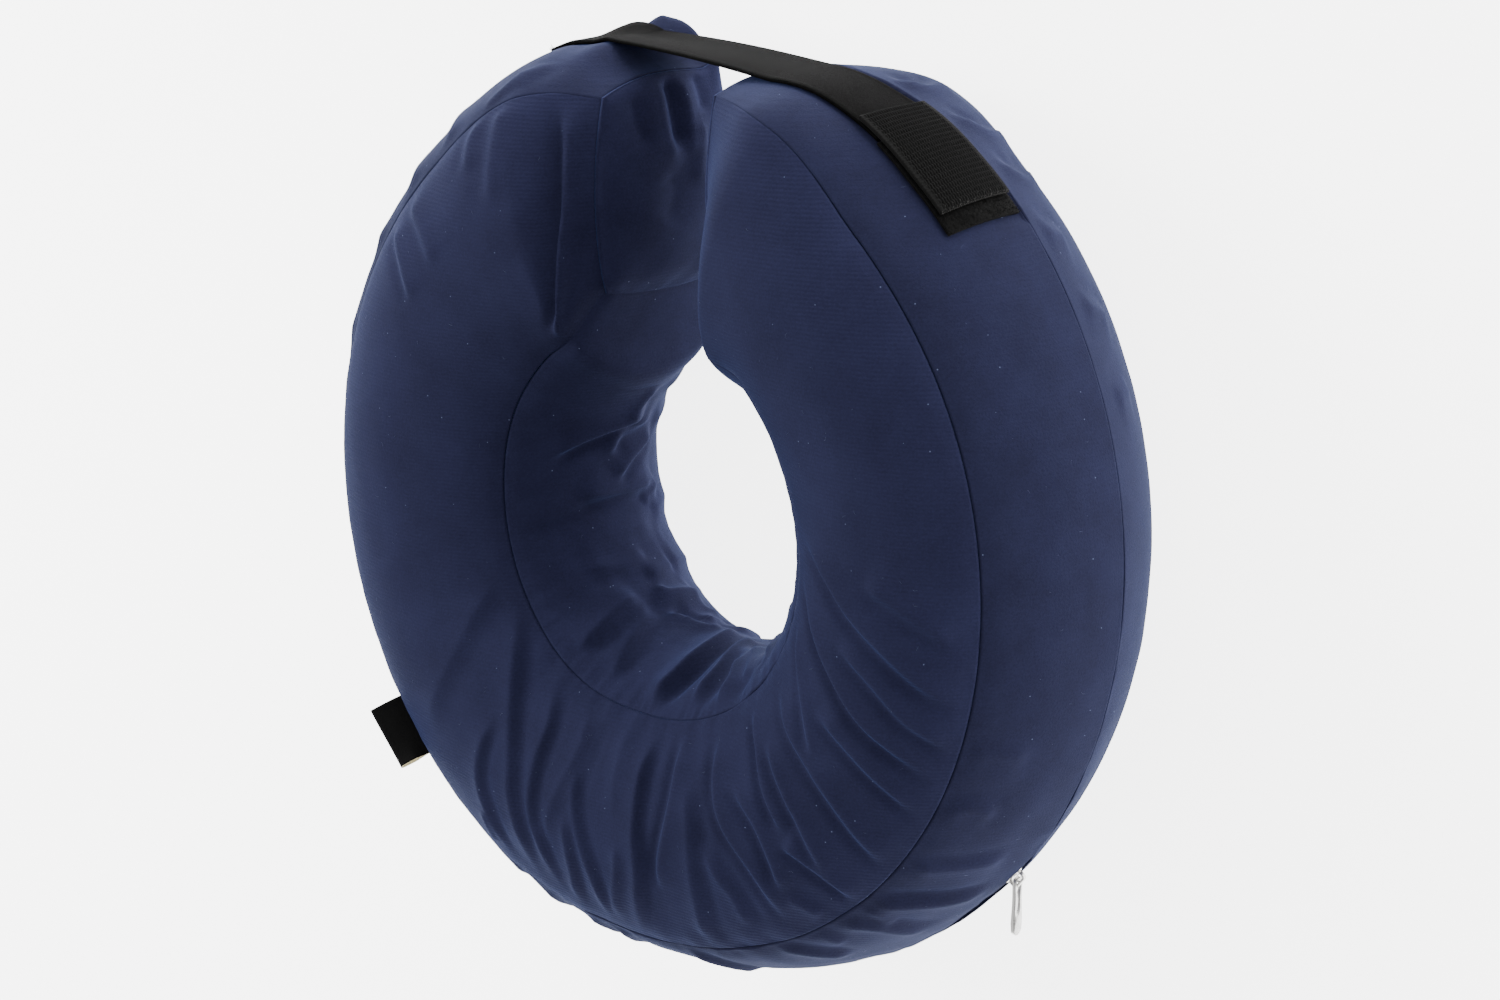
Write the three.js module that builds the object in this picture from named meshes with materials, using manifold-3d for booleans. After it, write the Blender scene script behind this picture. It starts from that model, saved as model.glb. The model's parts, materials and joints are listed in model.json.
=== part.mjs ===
// Inflatable recovery collar for a pet: a C-shaped air ring in a sewn cloth cover, with a strap over the gap.
// Millimetres, +Z up. It lies on its back: Z is the axis of the neck opening, and +Y points at the gap.
// It is built round the ring's centre and then set down with its origin under the middle of its extent.
import * as THREE from 'three';
import { mergeVertices } from 'three/addons/utils/BufferGeometryUtils.js';
import Module from 'manifold-3d';

const wasm = await Module();
wasm.setup();

// The ring and its section, measured from the ring's centreline to the seams
const RING_RADIUS = 107;
const OUTER_HALF = 39;
const INNER_HALF = 40;
const SEAM_HALF_DEPTH = 39.5;
const FACE_BULGE = 14;
const OUTER_BULGE = 16.5;
const INNER_BULGE = 17.5;
const REST_FLAT = 3;

// The gap between the two arms, and how far the sections turn into its plane, in degrees
const GAP_HALF = 24;
const LEAN_REACH = 40;
const CAP_DOME = 8;

// Cloth, seams and running room; CROWN_SEAM is the zip seam's place across the outer side, as a share
const WALL = 2;
const SEAM_GAP = 0.3;
const CLEAR = 0.3;
const CROWN_SEAM = 0.55;

// Folds and gathers
const FOLD_HEIGHT = 3;
const FOLD_WIDTH = 7;
const CAP_FOLD_WIDTH = 4;

// The air bladder
const BLADDER_WALL = 1.2;
const BLADDER_ROOM = 2.5;
const BLADDER_END_ROOM = 3;
const FILLING_HOLE = 3;

// The zip in the crown seam; angles are degrees from the gap's middle, over the left arm
const ZIP_FROM = 150;
const ZIP_TO = 233;
const ZIP_END_ROOM = 0.5;
const SLOT_FROM = ZIP_FROM - ZIP_END_ROOM;
const SLOT_TO = ZIP_TO + ZIP_END_ROOM;
const ZIP_SLOT = 3.2;
const ZIP_DEPTH = 1.8;
const ZIP_INSET = 0.4;

// The pull: a flat drop with a long eye
const PULL_LENGTH = 20;
const PULL_WIDTH = 4.6;
const PULL_THICK = 1;
const PULL_BAR = 1.1;
const PULL_REST_TURN = 37;
const EYE_ROOM = 0.4;
const EYE_RIM = 0.65;
const EYE_PLAY = 3;
const EYE_TIP_SHARE = 0.4;

// The slider and the bridge that holds the pull
const SLIDER_AT = 229.5;
const SLIDER_LENGTH = 8;
const SLIDER_WIDTH = 5.6;
const SLIDER_THICK = 1.2;
const KEEL_LENGTH = 4.8;
const BRIDGE_WINDOW = 4.6;
const BRIDGE_BAR = 0.9;
const BRIDGE_WIDTH = 1.5;
const BRIDGE_ROOM = 0.3;
const BRIDGE_HEIGHT = Math.hypot(PULL_BAR, PULL_THICK) + 2 * BRIDGE_ROOM;
const EYE_WIDTH = BRIDGE_WIDTH + 2 * EYE_ROOM;
const EYE_LENGTH = BRIDGE_WINDOW / 2 + BRIDGE_BAR + EYE_PLAY;

// The strap, its hook tape and the loop patch on the outer bands
const STRAP_ACROSS_LEFT = 0.66;
const STRAP_ACROSS_RIGHT = 0.37;
const STRAP_WIDTH = 28;
const STRAP_THICK = 1.3;
const STRAP_FROM = 28.5;
const STRAP_TO = 326;
const HOOK_THICK = 1.5;
const HOOK_FROM = 329;
const HOOK_TO = 315.5;
const PATCH_WIDTH = 30;
const PATCH_THICK = 1.3;
const PATCH_GAP_TURN = 0.4;
const PATCH_FROM = STRAP_TO - PATCH_GAP_TURN;
const PATCH_TO = 312.5;
const HOOK_LIFT = 2 * CLEAR + Math.max(STRAP_THICK, PATCH_THICK);

// The side label in the front outer seam, a short ribbon folded once
const LABEL_AT = 128;
const LABEL_WIDTH = 20;
const LABEL_LENGTH = 10;
const LABEL_THICK = 1.8;
const LABEL_PLY = 0.6;

// How finely the forms are divided
const FRONT_ROWS = 10;
const BAND_ROWS = 3;
const BACK_ROWS = 6;
const INNER_ROWS = 6;
const CAP_COLUMNS = 10;
const CAP_ROWS = 8;
const BLADDER_SECTIONS = 17;
const ZIP_STEPS = 22;
const STRIP_ROWS = 3;
const STRAP_END_STEPS = 2;
const STRAP_SPAN_STEPS = 6;
const STRAP_LAID_STEPS = 5;
const STRIP_STEPS = 7;
const STRAP_SEARCH_STEP = 0.25;
const STRAP_SEARCH_PASSES = 4;

const DEG = Math.PI / 180;
const UP = new THREE.Vector3(0, 0, 1);

// Sections round the ring. at: degrees from the gap's middle, over the left arm; the first and the last row
// stand at the arms' ends. ring: share of RING_RADIUS. wide: share of the half widths. deep: share of
// SEAM_HALF_DEPTH. bulge: share of the three bulges. back: share of FACE_BULGE on the rear panel.
const SECTIONS = [
  { at: 0, ring: 1.0, wide: 0.85, deep: 0.69, bulge: 0.32, back: 0.4 },
  { at: 26, ring: 0.99, wide: 1.05, deep: 0.97, bulge: 0.85, back: 0.85 },
  { at: 42, ring: 0.99, wide: 1.0, deep: 0.94, bulge: 1.03, back: 1.1 },
  { at: 70, ring: 1.0, wide: 1.01, deep: 0.94, bulge: 0.98, back: 1.15 },
  { at: 110, ring: 1.0, wide: 1.03, deep: 0.95, bulge: 0.95, back: 1.12 },
  { at: 145, ring: 1.0, wide: 1.03, deep: 0.97, bulge: 0.91, back: 1.05 },
  { at: 180, ring: 0.97, wide: 1.0, deep: 0.98, bulge: 0.88, back: 1.0 },
  { at: 215, ring: 0.98, wide: 0.97, deep: 1.0, bulge: 0.9, back: 1.0 },
  { at: 250, ring: 1.0, wide: 0.95, deep: 1.04, bulge: 0.98, back: 0.93 },
  { at: 290, ring: 1.02, wide: 0.93, deep: 1.1, bulge: 1.05, back: 0.85 },
  { at: 318, ring: 1.04, wide: 0.9, deep: 1.15, bulge: 1.1, back: 0.75 },
  { at: 334, ring: 1.05, wide: 1.04, deep: 1.14, bulge: 0.88, back: 0.55 },
  { at: 360, ring: 1.04, wide: 0.91, deep: 0.75, bulge: 0.32, back: 0.4 },
];
const END_X = GAP_HALF + WALL + SEAM_GAP;
const FIRST_AT = Math.asin(END_X / (RING_RADIUS * SECTIONS[0].ring)) / DEG;
const LAST_AT = 360 - Math.asin(END_X / (RING_RADIUS * SECTIONS.at(-1).ring)) / DEG;
SECTIONS[0].at = FIRST_AT;
SECTIONS.at(-1).at = LAST_AT;
const FLOOR = REST_FLAT - SEAM_HALF_DEPTH - FACE_BULGE;

// How many columns of the cloth mesh each stretch of the ring gets
const COLUMN_STRETCHES = [
  { to: 30, count: 5 },
  { to: 135, count: 12 },
  { to: 235, count: 34 },
  { to: LAST_AT, count: 14 },
];

// Folds. from and to: degrees along the ring where the fold starts and ends. low and high: the same across
// the side, as a share from its first seam. wide: share of FOLD_WIDTH. tall: share of FOLD_HEIGHT.
const FRONT_FOLDS = [
  { from: 17, low: 0.0, to: 18, high: 1.0, wide: 0.8, tall: 1.2 },
  { from: 27, low: 0.55, to: 26, high: 1.0, wide: 0.9, tall: 0.5 },
  { from: 46, low: 0.6, to: 47, high: 1.0, wide: 1.0, tall: 0.4 },
  { from: 128, low: 0.45, to: 133, high: 0.9, wide: 1.0, tall: 0.5 },
  { from: 142, low: 0.5, to: 156, high: 1.0, wide: 0.9, tall: 0.8 },
  { from: 139, low: 0.05, to: 161, high: 1.0, wide: 1.0, tall: 1.1 },
  { from: 155, low: 0.3, to: 166, high: 1.0, wide: 0.9, tall: 0.9 },
  { from: 162, low: 0.0, to: 163, high: 0.65, wide: 0.9, tall: 1.0 },
  { from: 167, low: 0.35, to: 175, high: 1.0, wide: 0.8, tall: 0.9 },
  { from: 187, low: 0.3, to: 178, high: 1.0, wide: 0.9, tall: 1.0 },
  { from: 199, low: 0.0, to: 186, high: 1.0, wide: 1.0, tall: 1.0 },
  { from: 201, low: 0.25, to: 195, high: 0.85, wide: 0.8, tall: 0.6 },
  { from: 211, low: 0.0, to: 206, high: 0.95, wide: 1.1, tall: 1.0 },
  { from: 228, low: 0.0, to: 218, high: 0.95, wide: 1.0, tall: 1.1 },
  { from: 259, low: 0.05, to: 228, high: 1.0, wide: 1.1, tall: 1.0 },
  { from: 267, low: 0.05, to: 245, high: 1.0, wide: 1.2, tall: 0.8 },
  { from: 275, low: 0.25, to: 256, high: 1.0, wide: 1.2, tall: 0.5 },
];
const INNER_FOLDS = [
  { from: 57, low: 0.3, to: 76, high: 0.85, wide: 1.1, tall: 0.7 },
  { from: 70, low: 0.15, to: 97, high: 0.7, wide: 1.1, tall: 0.9 },
  { from: 96, low: 0.15, to: 99, high: 0.85, wide: 1.1, tall: 0.8 },
  { from: 126, low: 0.1, to: 122, high: 0.8, wide: 1.0, tall: 0.8 },
  { from: 141, low: 0.1, to: 139, high: 0.7, wide: 0.9, tall: 0.8 },
  { from: 168, low: 0.1, to: 180, high: 1.0, wide: 1.0, tall: 1.2 },
  { from: 180, low: 0.15, to: 197, high: 1.0, wide: 0.9, tall: 1.0 },
  { from: 190, low: 0.35, to: 209, high: 1.0, wide: 0.9, tall: 0.9 },
  { from: 206, low: 0.1, to: 220, high: 0.9, wide: 1.0, tall: 0.8 },
  { from: 240, low: 0.15, to: 247, high: 0.85, wide: 1.0, tall: 0.7 },
  { from: 270, low: 0.1, to: 266, high: 0.8, wide: 1.1, tall: 0.7 },
  { from: 300, low: 0.2, to: 292, high: 0.85, wide: 1.1, tall: 0.6 },
];
const BACK_FOLDS = [
  { from: 150, low: 0.0, to: 146, high: 0.5, wide: 1.0, tall: 0.7 },
  { from: 168, low: 0.0, to: 171, high: 0.6, wide: 1.1, tall: 0.8 },
  { from: 190, low: 0.0, to: 186, high: 0.5, wide: 1.0, tall: 0.8 },
  { from: 208, low: 0.0, to: 212, high: 0.6, wide: 1.1, tall: 0.7 },
];

// Gathers in the end caps. across: place from the rear edge to the front edge. from: where the gather
// starts on the way to the outer edge. wide: share of CAP_FOLD_WIDTH. tall: share of FOLD_HEIGHT.
const CAP_FOLDS = [
  { across: 0.46, from: 0.66, wide: 1.0, tall: 1.1 },
  { across: 0.3, from: 0.7, wide: 0.9, tall: 1.0 },
  { across: 0.17, from: 0.76, wide: 0.8, tall: 0.8 },
];

// Where the bladder's corners stand on each side of a section, as shares from its first seam
const BLADDER_PLACES = {
  front: [0.25, 0.75],
  outer: [0.25, 0.75],
  back: [0.2, 0.5, 0.8],
  inner: [0.25, 0.75],
};

// Half the slider's plate. along: share of half its length. wide: share of half its width.
const PLATE_OUTLINE = [
  { along: -1, wide: 0.6 },
  { along: -0.8, wide: 1 },
  { along: 0.1, wide: 1 },
  { along: 1, wide: 0.5 },
];

// Half the pull's width along its length. of: the part whose half width it follows. share: share of that.
const PULL_OUTLINE = [
  { along: 0, of: 'neck', share: 0.7 },
  { along: 0.04, of: 'neck', share: 1 },
  { along: 0.36, of: 'neck', share: 0.95 },
  { along: 0.5, of: 'blade', share: 0.82 },
  { along: 0.72, of: 'blade', share: 0.96 },
  { along: 0.86, of: 'blade', share: 1 },
  { along: 0.95, of: 'blade', share: 0.75 },
  { along: 1, of: 'blade', share: 0.35 },
];

// A smooth value between the rows of a table, which never overshoots them
function between(rows, column, at) {
  const last = rows.length - 1;
  const slope = (k) => (rows[k + 1][column] - rows[k][column]) / (rows[k + 1].at - rows[k].at);
  const steepness = (k) => {
    if (k === 0) return slope(0);
    if (k === last) return slope(last - 1);
    const product = slope(k - 1) * slope(k);
    return product <= 0 ? 0 : (2 * product) / (slope(k - 1) + slope(k));
  };
  let k = 0;
  while (k < last - 1 && at > rows[k + 1].at) k += 1;
  const span = rows[k + 1].at - rows[k].at;
  const t = THREE.MathUtils.clamp((at - rows[k].at) / span, 0, 1);
  const rise = rows[k + 1][column] - rows[k][column];
  const start = steepness(k) * span;
  const end = steepness(k + 1) * span;
  return rows[k][column] + t * (start + t * (3 * rise - 2 * start - end + t * (start + end - 2 * rise)));
}

// One section of the ring: its centre, the way out from the neck, its seams and the bulge of each side.
// Points in a section are (outward, up) pairs.
function sectionAt(at) {
  const share = (column) => between(SECTIONS, column, at);
  const onLeft = at < 180;
  const fromEnd = onLeft ? at - FIRST_AT : LAST_AT - at;
  const endTurn = onLeft ? -FIRST_AT : 360 - LAST_AT;
  const turn = (90 + at) * DEG;
  const lean = endTurn * DEG * Math.max(0, 1 - fromEnd / LEAN_REACH) ** 2;
  const reach = RING_RADIUS * share('ring');
  const outer = OUTER_HALF * share('wide');
  const inner = -INNER_HALF * share('wide');
  const depth = SEAM_HALF_DEPTH * share('deep');
  return {
    at,
    centre: new THREE.Vector3(Math.cos(turn) * reach, Math.sin(turn) * reach, 0),
    out: new THREE.Vector3(Math.cos(turn + lean), Math.sin(turn + lean), 0),
    frontIn: new THREE.Vector2(inner, depth),
    frontOut: new THREE.Vector2(outer, depth),
    backOut: new THREE.Vector2(outer, -depth),
    backIn: new THREE.Vector2(inner, -depth),
    front: FACE_BULGE * share('bulge'),
    outer: OUTER_BULGE * share('bulge'),
    back: FACE_BULGE * share('back'),
    inner: INNER_BULGE * share('bulge'),
  };
}

// The sides of a section in order, each an arc from one seam to the next
const SIDES = {
  front: { from: 'frontIn', to: 'frontOut', next: 'outer', before: 'inner', folds: FRONT_FOLDS },
  outer: { from: 'frontOut', to: 'backOut', next: 'back', before: 'front', folds: [] },
  back: { from: 'backOut', to: 'backIn', next: 'inner', before: 'outer', folds: BACK_FOLDS },
  inner: { from: 'backIn', to: 'frontIn', next: 'front', before: 'back', folds: INNER_FOLDS },
};

function arcOf(section, side) {
  const from = section[SIDES[side].from];
  const chord = section[SIDES[side].to].clone().sub(from);
  const length = chord.length();
  const along = chord.clone().divideScalar(length);
  const half = 2 * Math.atan((2 * section[side]) / length);
  const radius = length / 2 / Math.sin(half);
  return { from, chord, along, half, radius, length: 2 * half * radius };
}

// A place on one side of a section, with the cloth's normal and its direction towards the next seam
function spotOn(section, side, share) {
  const arc = arcOf(section, side);
  const outward = new THREE.Vector2(-arc.along.y, arc.along.x);
  const angle = (2 * share - 1) * arc.half;
  const point = arc.from.clone().addScaledVector(arc.chord, 0.5);
  point.addScaledVector(arc.along, arc.radius * Math.sin(angle));
  point.addScaledVector(outward, arc.radius * (Math.cos(angle) - Math.cos(arc.half)));
  const normal = arc.along.clone().multiplyScalar(Math.sin(angle));
  normal.addScaledVector(outward, Math.cos(angle));
  return { point, normal, tangent: new THREE.Vector2(normal.y, -normal.x), length: arc.length };
}

function inSpace(section, point) {
  return section.centre.clone().addScaledVector(section.out, point.x).addScaledVector(UP, point.y);
}

// How far the folds lift the cloth at one place
function foldLift(folds, at, share, reach) {
  let lift = 0;
  for (const fold of folds) {
    const along = (share - fold.low) / (fold.high - fold.low);
    if (along > 0 && along < 1) {
      const line = THREE.MathUtils.lerp(fold.from, fold.to, along);
      const aside = ((at - line) * DEG * reach) / (FOLD_WIDTH * fold.wide);
      lift += FOLD_HEIGHT * fold.tall * Math.exp(-(aside ** 2)) * (1 - (2 * along - 1) ** 4);
    }
  }
  return lift;
}

// The cloth flattens where it rests, so nothing reaches below the floor
function keptAboveFloor(point, depth) {
  point.z = Math.max(point.z, FLOOR + depth);
  return point;
}

// A closed body between an outer and an inner grid of points: pointAt(column, row, isInner)
function slab(columns, rows, pointAt) {
  const positions = [];
  const faces = [];
  for (const isInner of [false, true]) {
    for (let i = 0; i <= columns; i += 1) {
      for (let j = 0; j <= rows; j += 1) {
        positions.push(...pointAt(i, j, isInner).toArray());
      }
    }
  }
  const vertex = (i, j, isInner) => (isInner ? (columns + 1) * (rows + 1) : 0) + i * (rows + 1) + j;
  const quad = (a, b, c, d) => faces.push(a, b, c, a, c, d);
  for (let i = 0; i < columns; i += 1) {
    for (let j = 0; j < rows; j += 1) {
      quad(vertex(i, j), vertex(i + 1, j), vertex(i + 1, j + 1), vertex(i, j + 1));
      quad(vertex(i, j, true), vertex(i, j + 1, true), vertex(i + 1, j + 1, true), vertex(i + 1, j, true));
    }
    quad(vertex(i, 0), vertex(i, 0, true), vertex(i + 1, 0, true), vertex(i + 1, 0));
    quad(vertex(i, rows), vertex(i + 1, rows), vertex(i + 1, rows, true), vertex(i, rows, true));
  }
  const end = columns;
  for (let j = 0; j < rows; j += 1) {
    quad(vertex(0, j), vertex(0, j + 1), vertex(0, j + 1, true), vertex(0, j, true));
    quad(vertex(end, j), vertex(end, j, true), vertex(end, j + 1, true), vertex(end, j + 1));
  }
  return facingOut(positions, faces);
}

// A closed body through rings of points, with a fan over the first and the last ring
function loft(rings) {
  const sides = rings[0].length;
  const positions = rings.flat().flatMap((point) => point.toArray());
  const faces = [];
  for (let i = 0; i < rings.length - 1; i += 1) {
    for (let j = 0; j < sides; j += 1) {
      const a = i * sides + j;
      const b = i * sides + ((j + 1) % sides);
      faces.push(a, b, b + sides, a, b + sides, a + sides);
    }
  }
  for (const last of [false, true]) {
    const ring = last ? rings.at(-1) : rings[0];
    const first = last ? (rings.length - 1) * sides : 0;
    const hub = positions.length / 3;
    positions.push(...middleOf(ring).toArray());
    for (let j = 0; j < sides; j += 1) {
      const pair = [first + j, first + ((j + 1) % sides)];
      faces.push(hub, ...(last ? pair : pair.reverse()));
    }
  }
  return facingOut(positions, faces);
}

function middleOf(points) {
  const sum = new THREE.Vector3();
  points.forEach((point) => sum.add(point));
  return sum.divideScalar(points.length);
}

// Makes the geometry and turns its faces outward
function facingOut(positions, faces) {
  const corner = (k) => new THREE.Vector3().fromArray(positions, 3 * faces[k]);
  let volume = 0;
  for (let k = 0; k < faces.length; k += 3) {
    volume += corner(k).dot(corner(k + 1).cross(corner(k + 2)));
  }
  const geometry = new THREE.BufferGeometry();
  geometry.setAttribute('position', new THREE.Float32BufferAttribute(positions, 3));
  geometry.setIndex(volume < 0 ? faces.reverse() : faces);
  geometry.computeVertexNormals();
  return geometry;
}

// Columns of the cloth mesh, with extra ones where the zip's slot opens and closes
function clothColumns() {
  const angles = [FIRST_AT];
  for (const stretch of COLUMN_STRETCHES) {
    const start = angles.at(-1);
    for (let i = 1; i <= stretch.count; i += 1) {
      angles.push(THREE.MathUtils.lerp(start, stretch.to, i / stretch.count));
    }
  }
  const slotEnds = [SLOT_FROM - ZIP_END_ROOM, SLOT_FROM, SLOT_TO, SLOT_TO + ZIP_END_ROOM];
  const isFree = (at) => slotEnds.every((end) => Math.abs(at - end) > ZIP_END_ROOM / 2);
  return [...angles.filter(isFree), ...slotEnds].sort((a, b) => a - b);
}

// Half the opening between the two outer bands: a plain seam, or the zip's slot
function crownOpening(at) {
  const isOpen = at >= SLOT_FROM && at <= SLOT_TO;
  return (isOpen ? ZIP_SLOT : SEAM_GAP) / 2;
}

// A cloth panel over part of one side, mitred to its neighbours along the seams
function clothPanel(side, rows, low = 0, high = 1) {
  const sections = COLUMNS.map(sectionAt);
  const { next, before, folds } = SIDES[side];
  return slab(sections.length - 1, rows, (i, j, isInner) => {
    const section = sections[i];
    const share = THREE.MathUtils.lerp(low, high, j / rows);
    const spot = spotOn(section, side, share);
    const depth = isInner ? WALL : 0;
    const inward = spot.normal.clone();
    if (share === 0 || share === 1) {
      const other = spotOn(section, share === 0 ? before : next, 1 - share).normal;
      inward.add(other).divideScalar(1 + spot.normal.dot(other));
    }
    const opening = share === 0 || share === 1 ? SEAM_GAP / 2 : crownOpening(section.at);
    if (j === 0) spot.point.addScaledVector(spot.tangent, opening);
    if (j === rows) spot.point.addScaledVector(spot.tangent, -opening);
    const reach = inSpace(section, spot.point).setZ(0).length();
    const lift = foldLift(folds, section.at, share, reach);
    return keptAboveFloor(inSpace(section, spot.point.addScaledVector(inward, lift - depth)), depth);
  });
}

// A domed end cap: a patch stretched between the four arcs of the end section, gathered at its outer edge
function endCap(at, towardsGap) {
  const section = sectionAt(at);
  const edge = (side, share) => spotOn(section, side, share).point;
  return slab(CAP_COLUMNS, CAP_ROWS, (i, j, isInner) => {
    const u = i / CAP_COLUMNS;
    const w = j / CAP_ROWS;
    const point = new THREE.Vector2();
    point.addScaledVector(edge('back', 1 - u), 1 - w).addScaledVector(edge('front', u), w);
    point.addScaledVector(edge('inner', w), 1 - u).addScaledVector(edge('outer', 1 - w), u);
    point.addScaledVector(section.backIn, -(1 - u) * (1 - w));
    point.addScaledVector(section.backOut, -u * (1 - w));
    point.addScaledVector(section.frontIn, -(1 - u) * w);
    point.addScaledVector(section.frontOut, -u * w);
    const dome = CAP_DOME * Math.sqrt(16 * u * (1 - u) * w * (1 - w));
    const placed = inSpace(section, point);
    placed.x = -towardsGap * (GAP_HALF + (isInner ? WALL : 0) - dome - capFoldLift(section, u, w));
    return placed;
  });
}

function capFoldLift(section, u, w) {
  const depth = section.frontOut.y - section.backOut.y;
  let lift = 0;
  for (const fold of CAP_FOLDS) {
    const along = Math.max(0, (u - fold.from) / (1 - fold.from));
    const aside = ((w - fold.across) * depth) / (CAP_FOLD_WIDTH * fold.wide);
    lift += FOLD_HEIGHT * fold.tall * Math.exp(-(aside ** 2)) * along * (1 - along ** 4);
  }
  return lift;
}

// The bladder: an outer and an inner tube in one body, with the filling hole in its left end wall
function airBladder() {
  const ringAt = (at, inset, floorDepth) => {
    const section = sectionAt(at);
    return Object.entries(BLADDER_PLACES).flatMap(([side, shares]) => shares.map((share) => {
      const spot = spotOn(section, side, share);
      return keptAboveFloor(inSpace(section, spot.point.addScaledVector(spot.normal, -inset)), floorDepth);
    }));
  };
  const inset = WALL + CLEAR + BLADDER_ROOM;
  const floorDepth = WALL + CLEAR;
  const wallTurn = BLADDER_WALL / RING_RADIUS / DEG;
  const roomTurn = (BLADDER_END_ROOM + CLEAR) / RING_RADIUS / DEG;
  const outer = [];
  const inner = [];
  for (let i = 0; i < BLADDER_SECTIONS; i += 1) {
    const share = i / (BLADDER_SECTIONS - 1);
    const start = FIRST_AT + roomTurn;
    const end = LAST_AT - roomTurn;
    outer.push(ringAt(THREE.MathUtils.lerp(start, end, share), inset, floorDepth));
    const hollowAt = THREE.MathUtils.lerp(start + wallTurn, end - wallTurn, share);
    inner.push(ringAt(hollowAt, inset + BLADDER_WALL, floorDepth + BLADDER_WALL));
  }
  const holeIn = (ring) => {
    const middle = middleOf(ring);
    const away = (point) => point.clone().sub(middle).setLength(FILLING_HOLE);
    return ring.map((point) => away(point).add(middle));
  };
  return loft([...inner.slice().reverse(), holeIn(inner[0]), holeIn(outer[0]), ...outer]);
}

// The closed zip, a flat chain that fills the slot between the outer bands
function zipChain() {
  return slab(ZIP_STEPS, 1, (i, j, isInner) => {
    const section = sectionAt(THREE.MathUtils.lerp(ZIP_FROM, ZIP_TO, i / ZIP_STEPS));
    const spot = spotOn(section, 'outer', CROWN_SEAM);
    const aside = (2 * j - 1) * (ZIP_SLOT / 2 - CLEAR);
    const depth = ZIP_INSET + (isInner ? ZIP_DEPTH : 0);
    spot.point.addScaledVector(spot.tangent, aside);
    return inSpace(section, spot.point.addScaledVector(spot.normal, -depth));
  });
}

function solidOf(geometry) {
  geometry.deleteAttribute('normal');
  geometry.deleteAttribute('uv');
  const merged = mergeVertices(geometry);
  const vertProperties = new Float32Array(merged.attributes.position.array);
  const triVerts = new Uint32Array(merged.index.array);
  return new wasm.Manifold(new wasm.Mesh({ numProp: 3, vertProperties, triVerts }));
}

function geometryOf(solid) {
  const mesh = solid.getMesh();
  return facingOut(Array.from(mesh.vertProperties), Array.from(mesh.triVerts));
}

// An outline from one half of it
function mirrored(half) {
  return [...half, ...half.map(([x, y]) => [x, -y]).reverse()].reverse();
}

function extruded(outline, depth, hole) {
  const shape = new THREE.Shape(outline.map(([x, y]) => new THREE.Vector2(x, y)));
  if (hole) shape.holes.push(new THREE.Path(hole.map(([x, y]) => new THREE.Vector2(x, y))));
  return new THREE.ExtrudeGeometry(shape, { depth, bevelEnabled: false });
}

// The slider's place on the crown seam: x runs along the zip, y across it, z out of the cloth
function sliderFrame() {
  const section = sectionAt(SLIDER_AT);
  const spot = spotOn(section, 'outer', CROWN_SEAM);
  const origin = inSpace(section, spot.point);
  const outward = inSpace(section, spot.point.clone().add(spot.normal)).sub(origin);
  const backAlong = new THREE.Vector3(-section.centre.y, section.centre.x, 0).negate();
  const across = outward.clone().cross(backAlong).normalize();
  const along = across.clone().cross(outward).normalize();
  return new THREE.Matrix4().makeBasis(along, across, outward).setPosition(origin);
}

// The slider: a tapered plate over the slot, a keel that follows it, and the bridge that holds the pull
function zipSlider() {
  const [half, side] = [SLIDER_LENGTH / 2, SLIDER_WIDTH / 2];
  const plateOutline = mirrored(PLATE_OUTLINE.map((row) => [row.along * half, row.wide * side]));
  const plate = extruded(plateOutline, SLIDER_THICK).translate(0, 0, CLEAR);
  const keelSide = ZIP_SLOT / 2 - CLEAR;
  const keelOutline = mirrored([[-KEEL_LENGTH / 2, keelSide], [KEEL_LENGTH / 2, keelSide]]);
  const keelDrop = ZIP_INSET - CLEAR;
  const keel = extruded(keelOutline, keelDrop + CLEAR + SLIDER_THICK / 2).translate(0, 0, -keelDrop);
  const window = BRIDGE_WINDOW / 2;
  const leg = window + BRIDGE_BAR;
  const sink = SLIDER_THICK / 2;
  const crown = BRIDGE_HEIGHT + BRIDGE_BAR;
  const archOutline = [
    [-leg, -sink], [-window, -sink], [-window, BRIDGE_HEIGHT], [window, BRIDGE_HEIGHT], [window, -sink],
    [leg, -sink], [leg, BRIDGE_HEIGHT], [window, crown], [-window, crown], [-leg, BRIDGE_HEIGHT],
  ];
  const bridge = extruded(archOutline, BRIDGE_WIDTH).translate(0, 0, -BRIDGE_WIDTH / 2);
  bridge.rotateX(90 * DEG).translate(0, 0, CLEAR + SLIDER_THICK);
  return geometryOf(solidOf(plate).add(solidOf(keel)).add(solidOf(bridge)));
}

// The pull: a flat drop with a long eye, its head bar centred on the hinge axis
function zipPull() {
  const halfOf = { neck: EYE_WIDTH / 2 + EYE_RIM, blade: PULL_WIDTH / 2 };
  const start = -PULL_BAR / 2;
  const edge = PULL_OUTLINE.map((row) => [start + row.along * PULL_LENGTH, halfOf[row.of] * row.share]);
  const eyeStart = PULL_BAR / 2;
  const eyeEnd = eyeStart + EYE_LENGTH;
  const eyeSide = EYE_WIDTH / 2;
  const eye = mirrored([
    [eyeStart, eyeSide], [eyeEnd - eyeSide, eyeSide], [eyeEnd, EYE_TIP_SHARE * eyeSide],
  ]);
  return extruded(mirrored(edge), PULL_THICK, eye).translate(0, 0, -PULL_THICK / 2);
}

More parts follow.
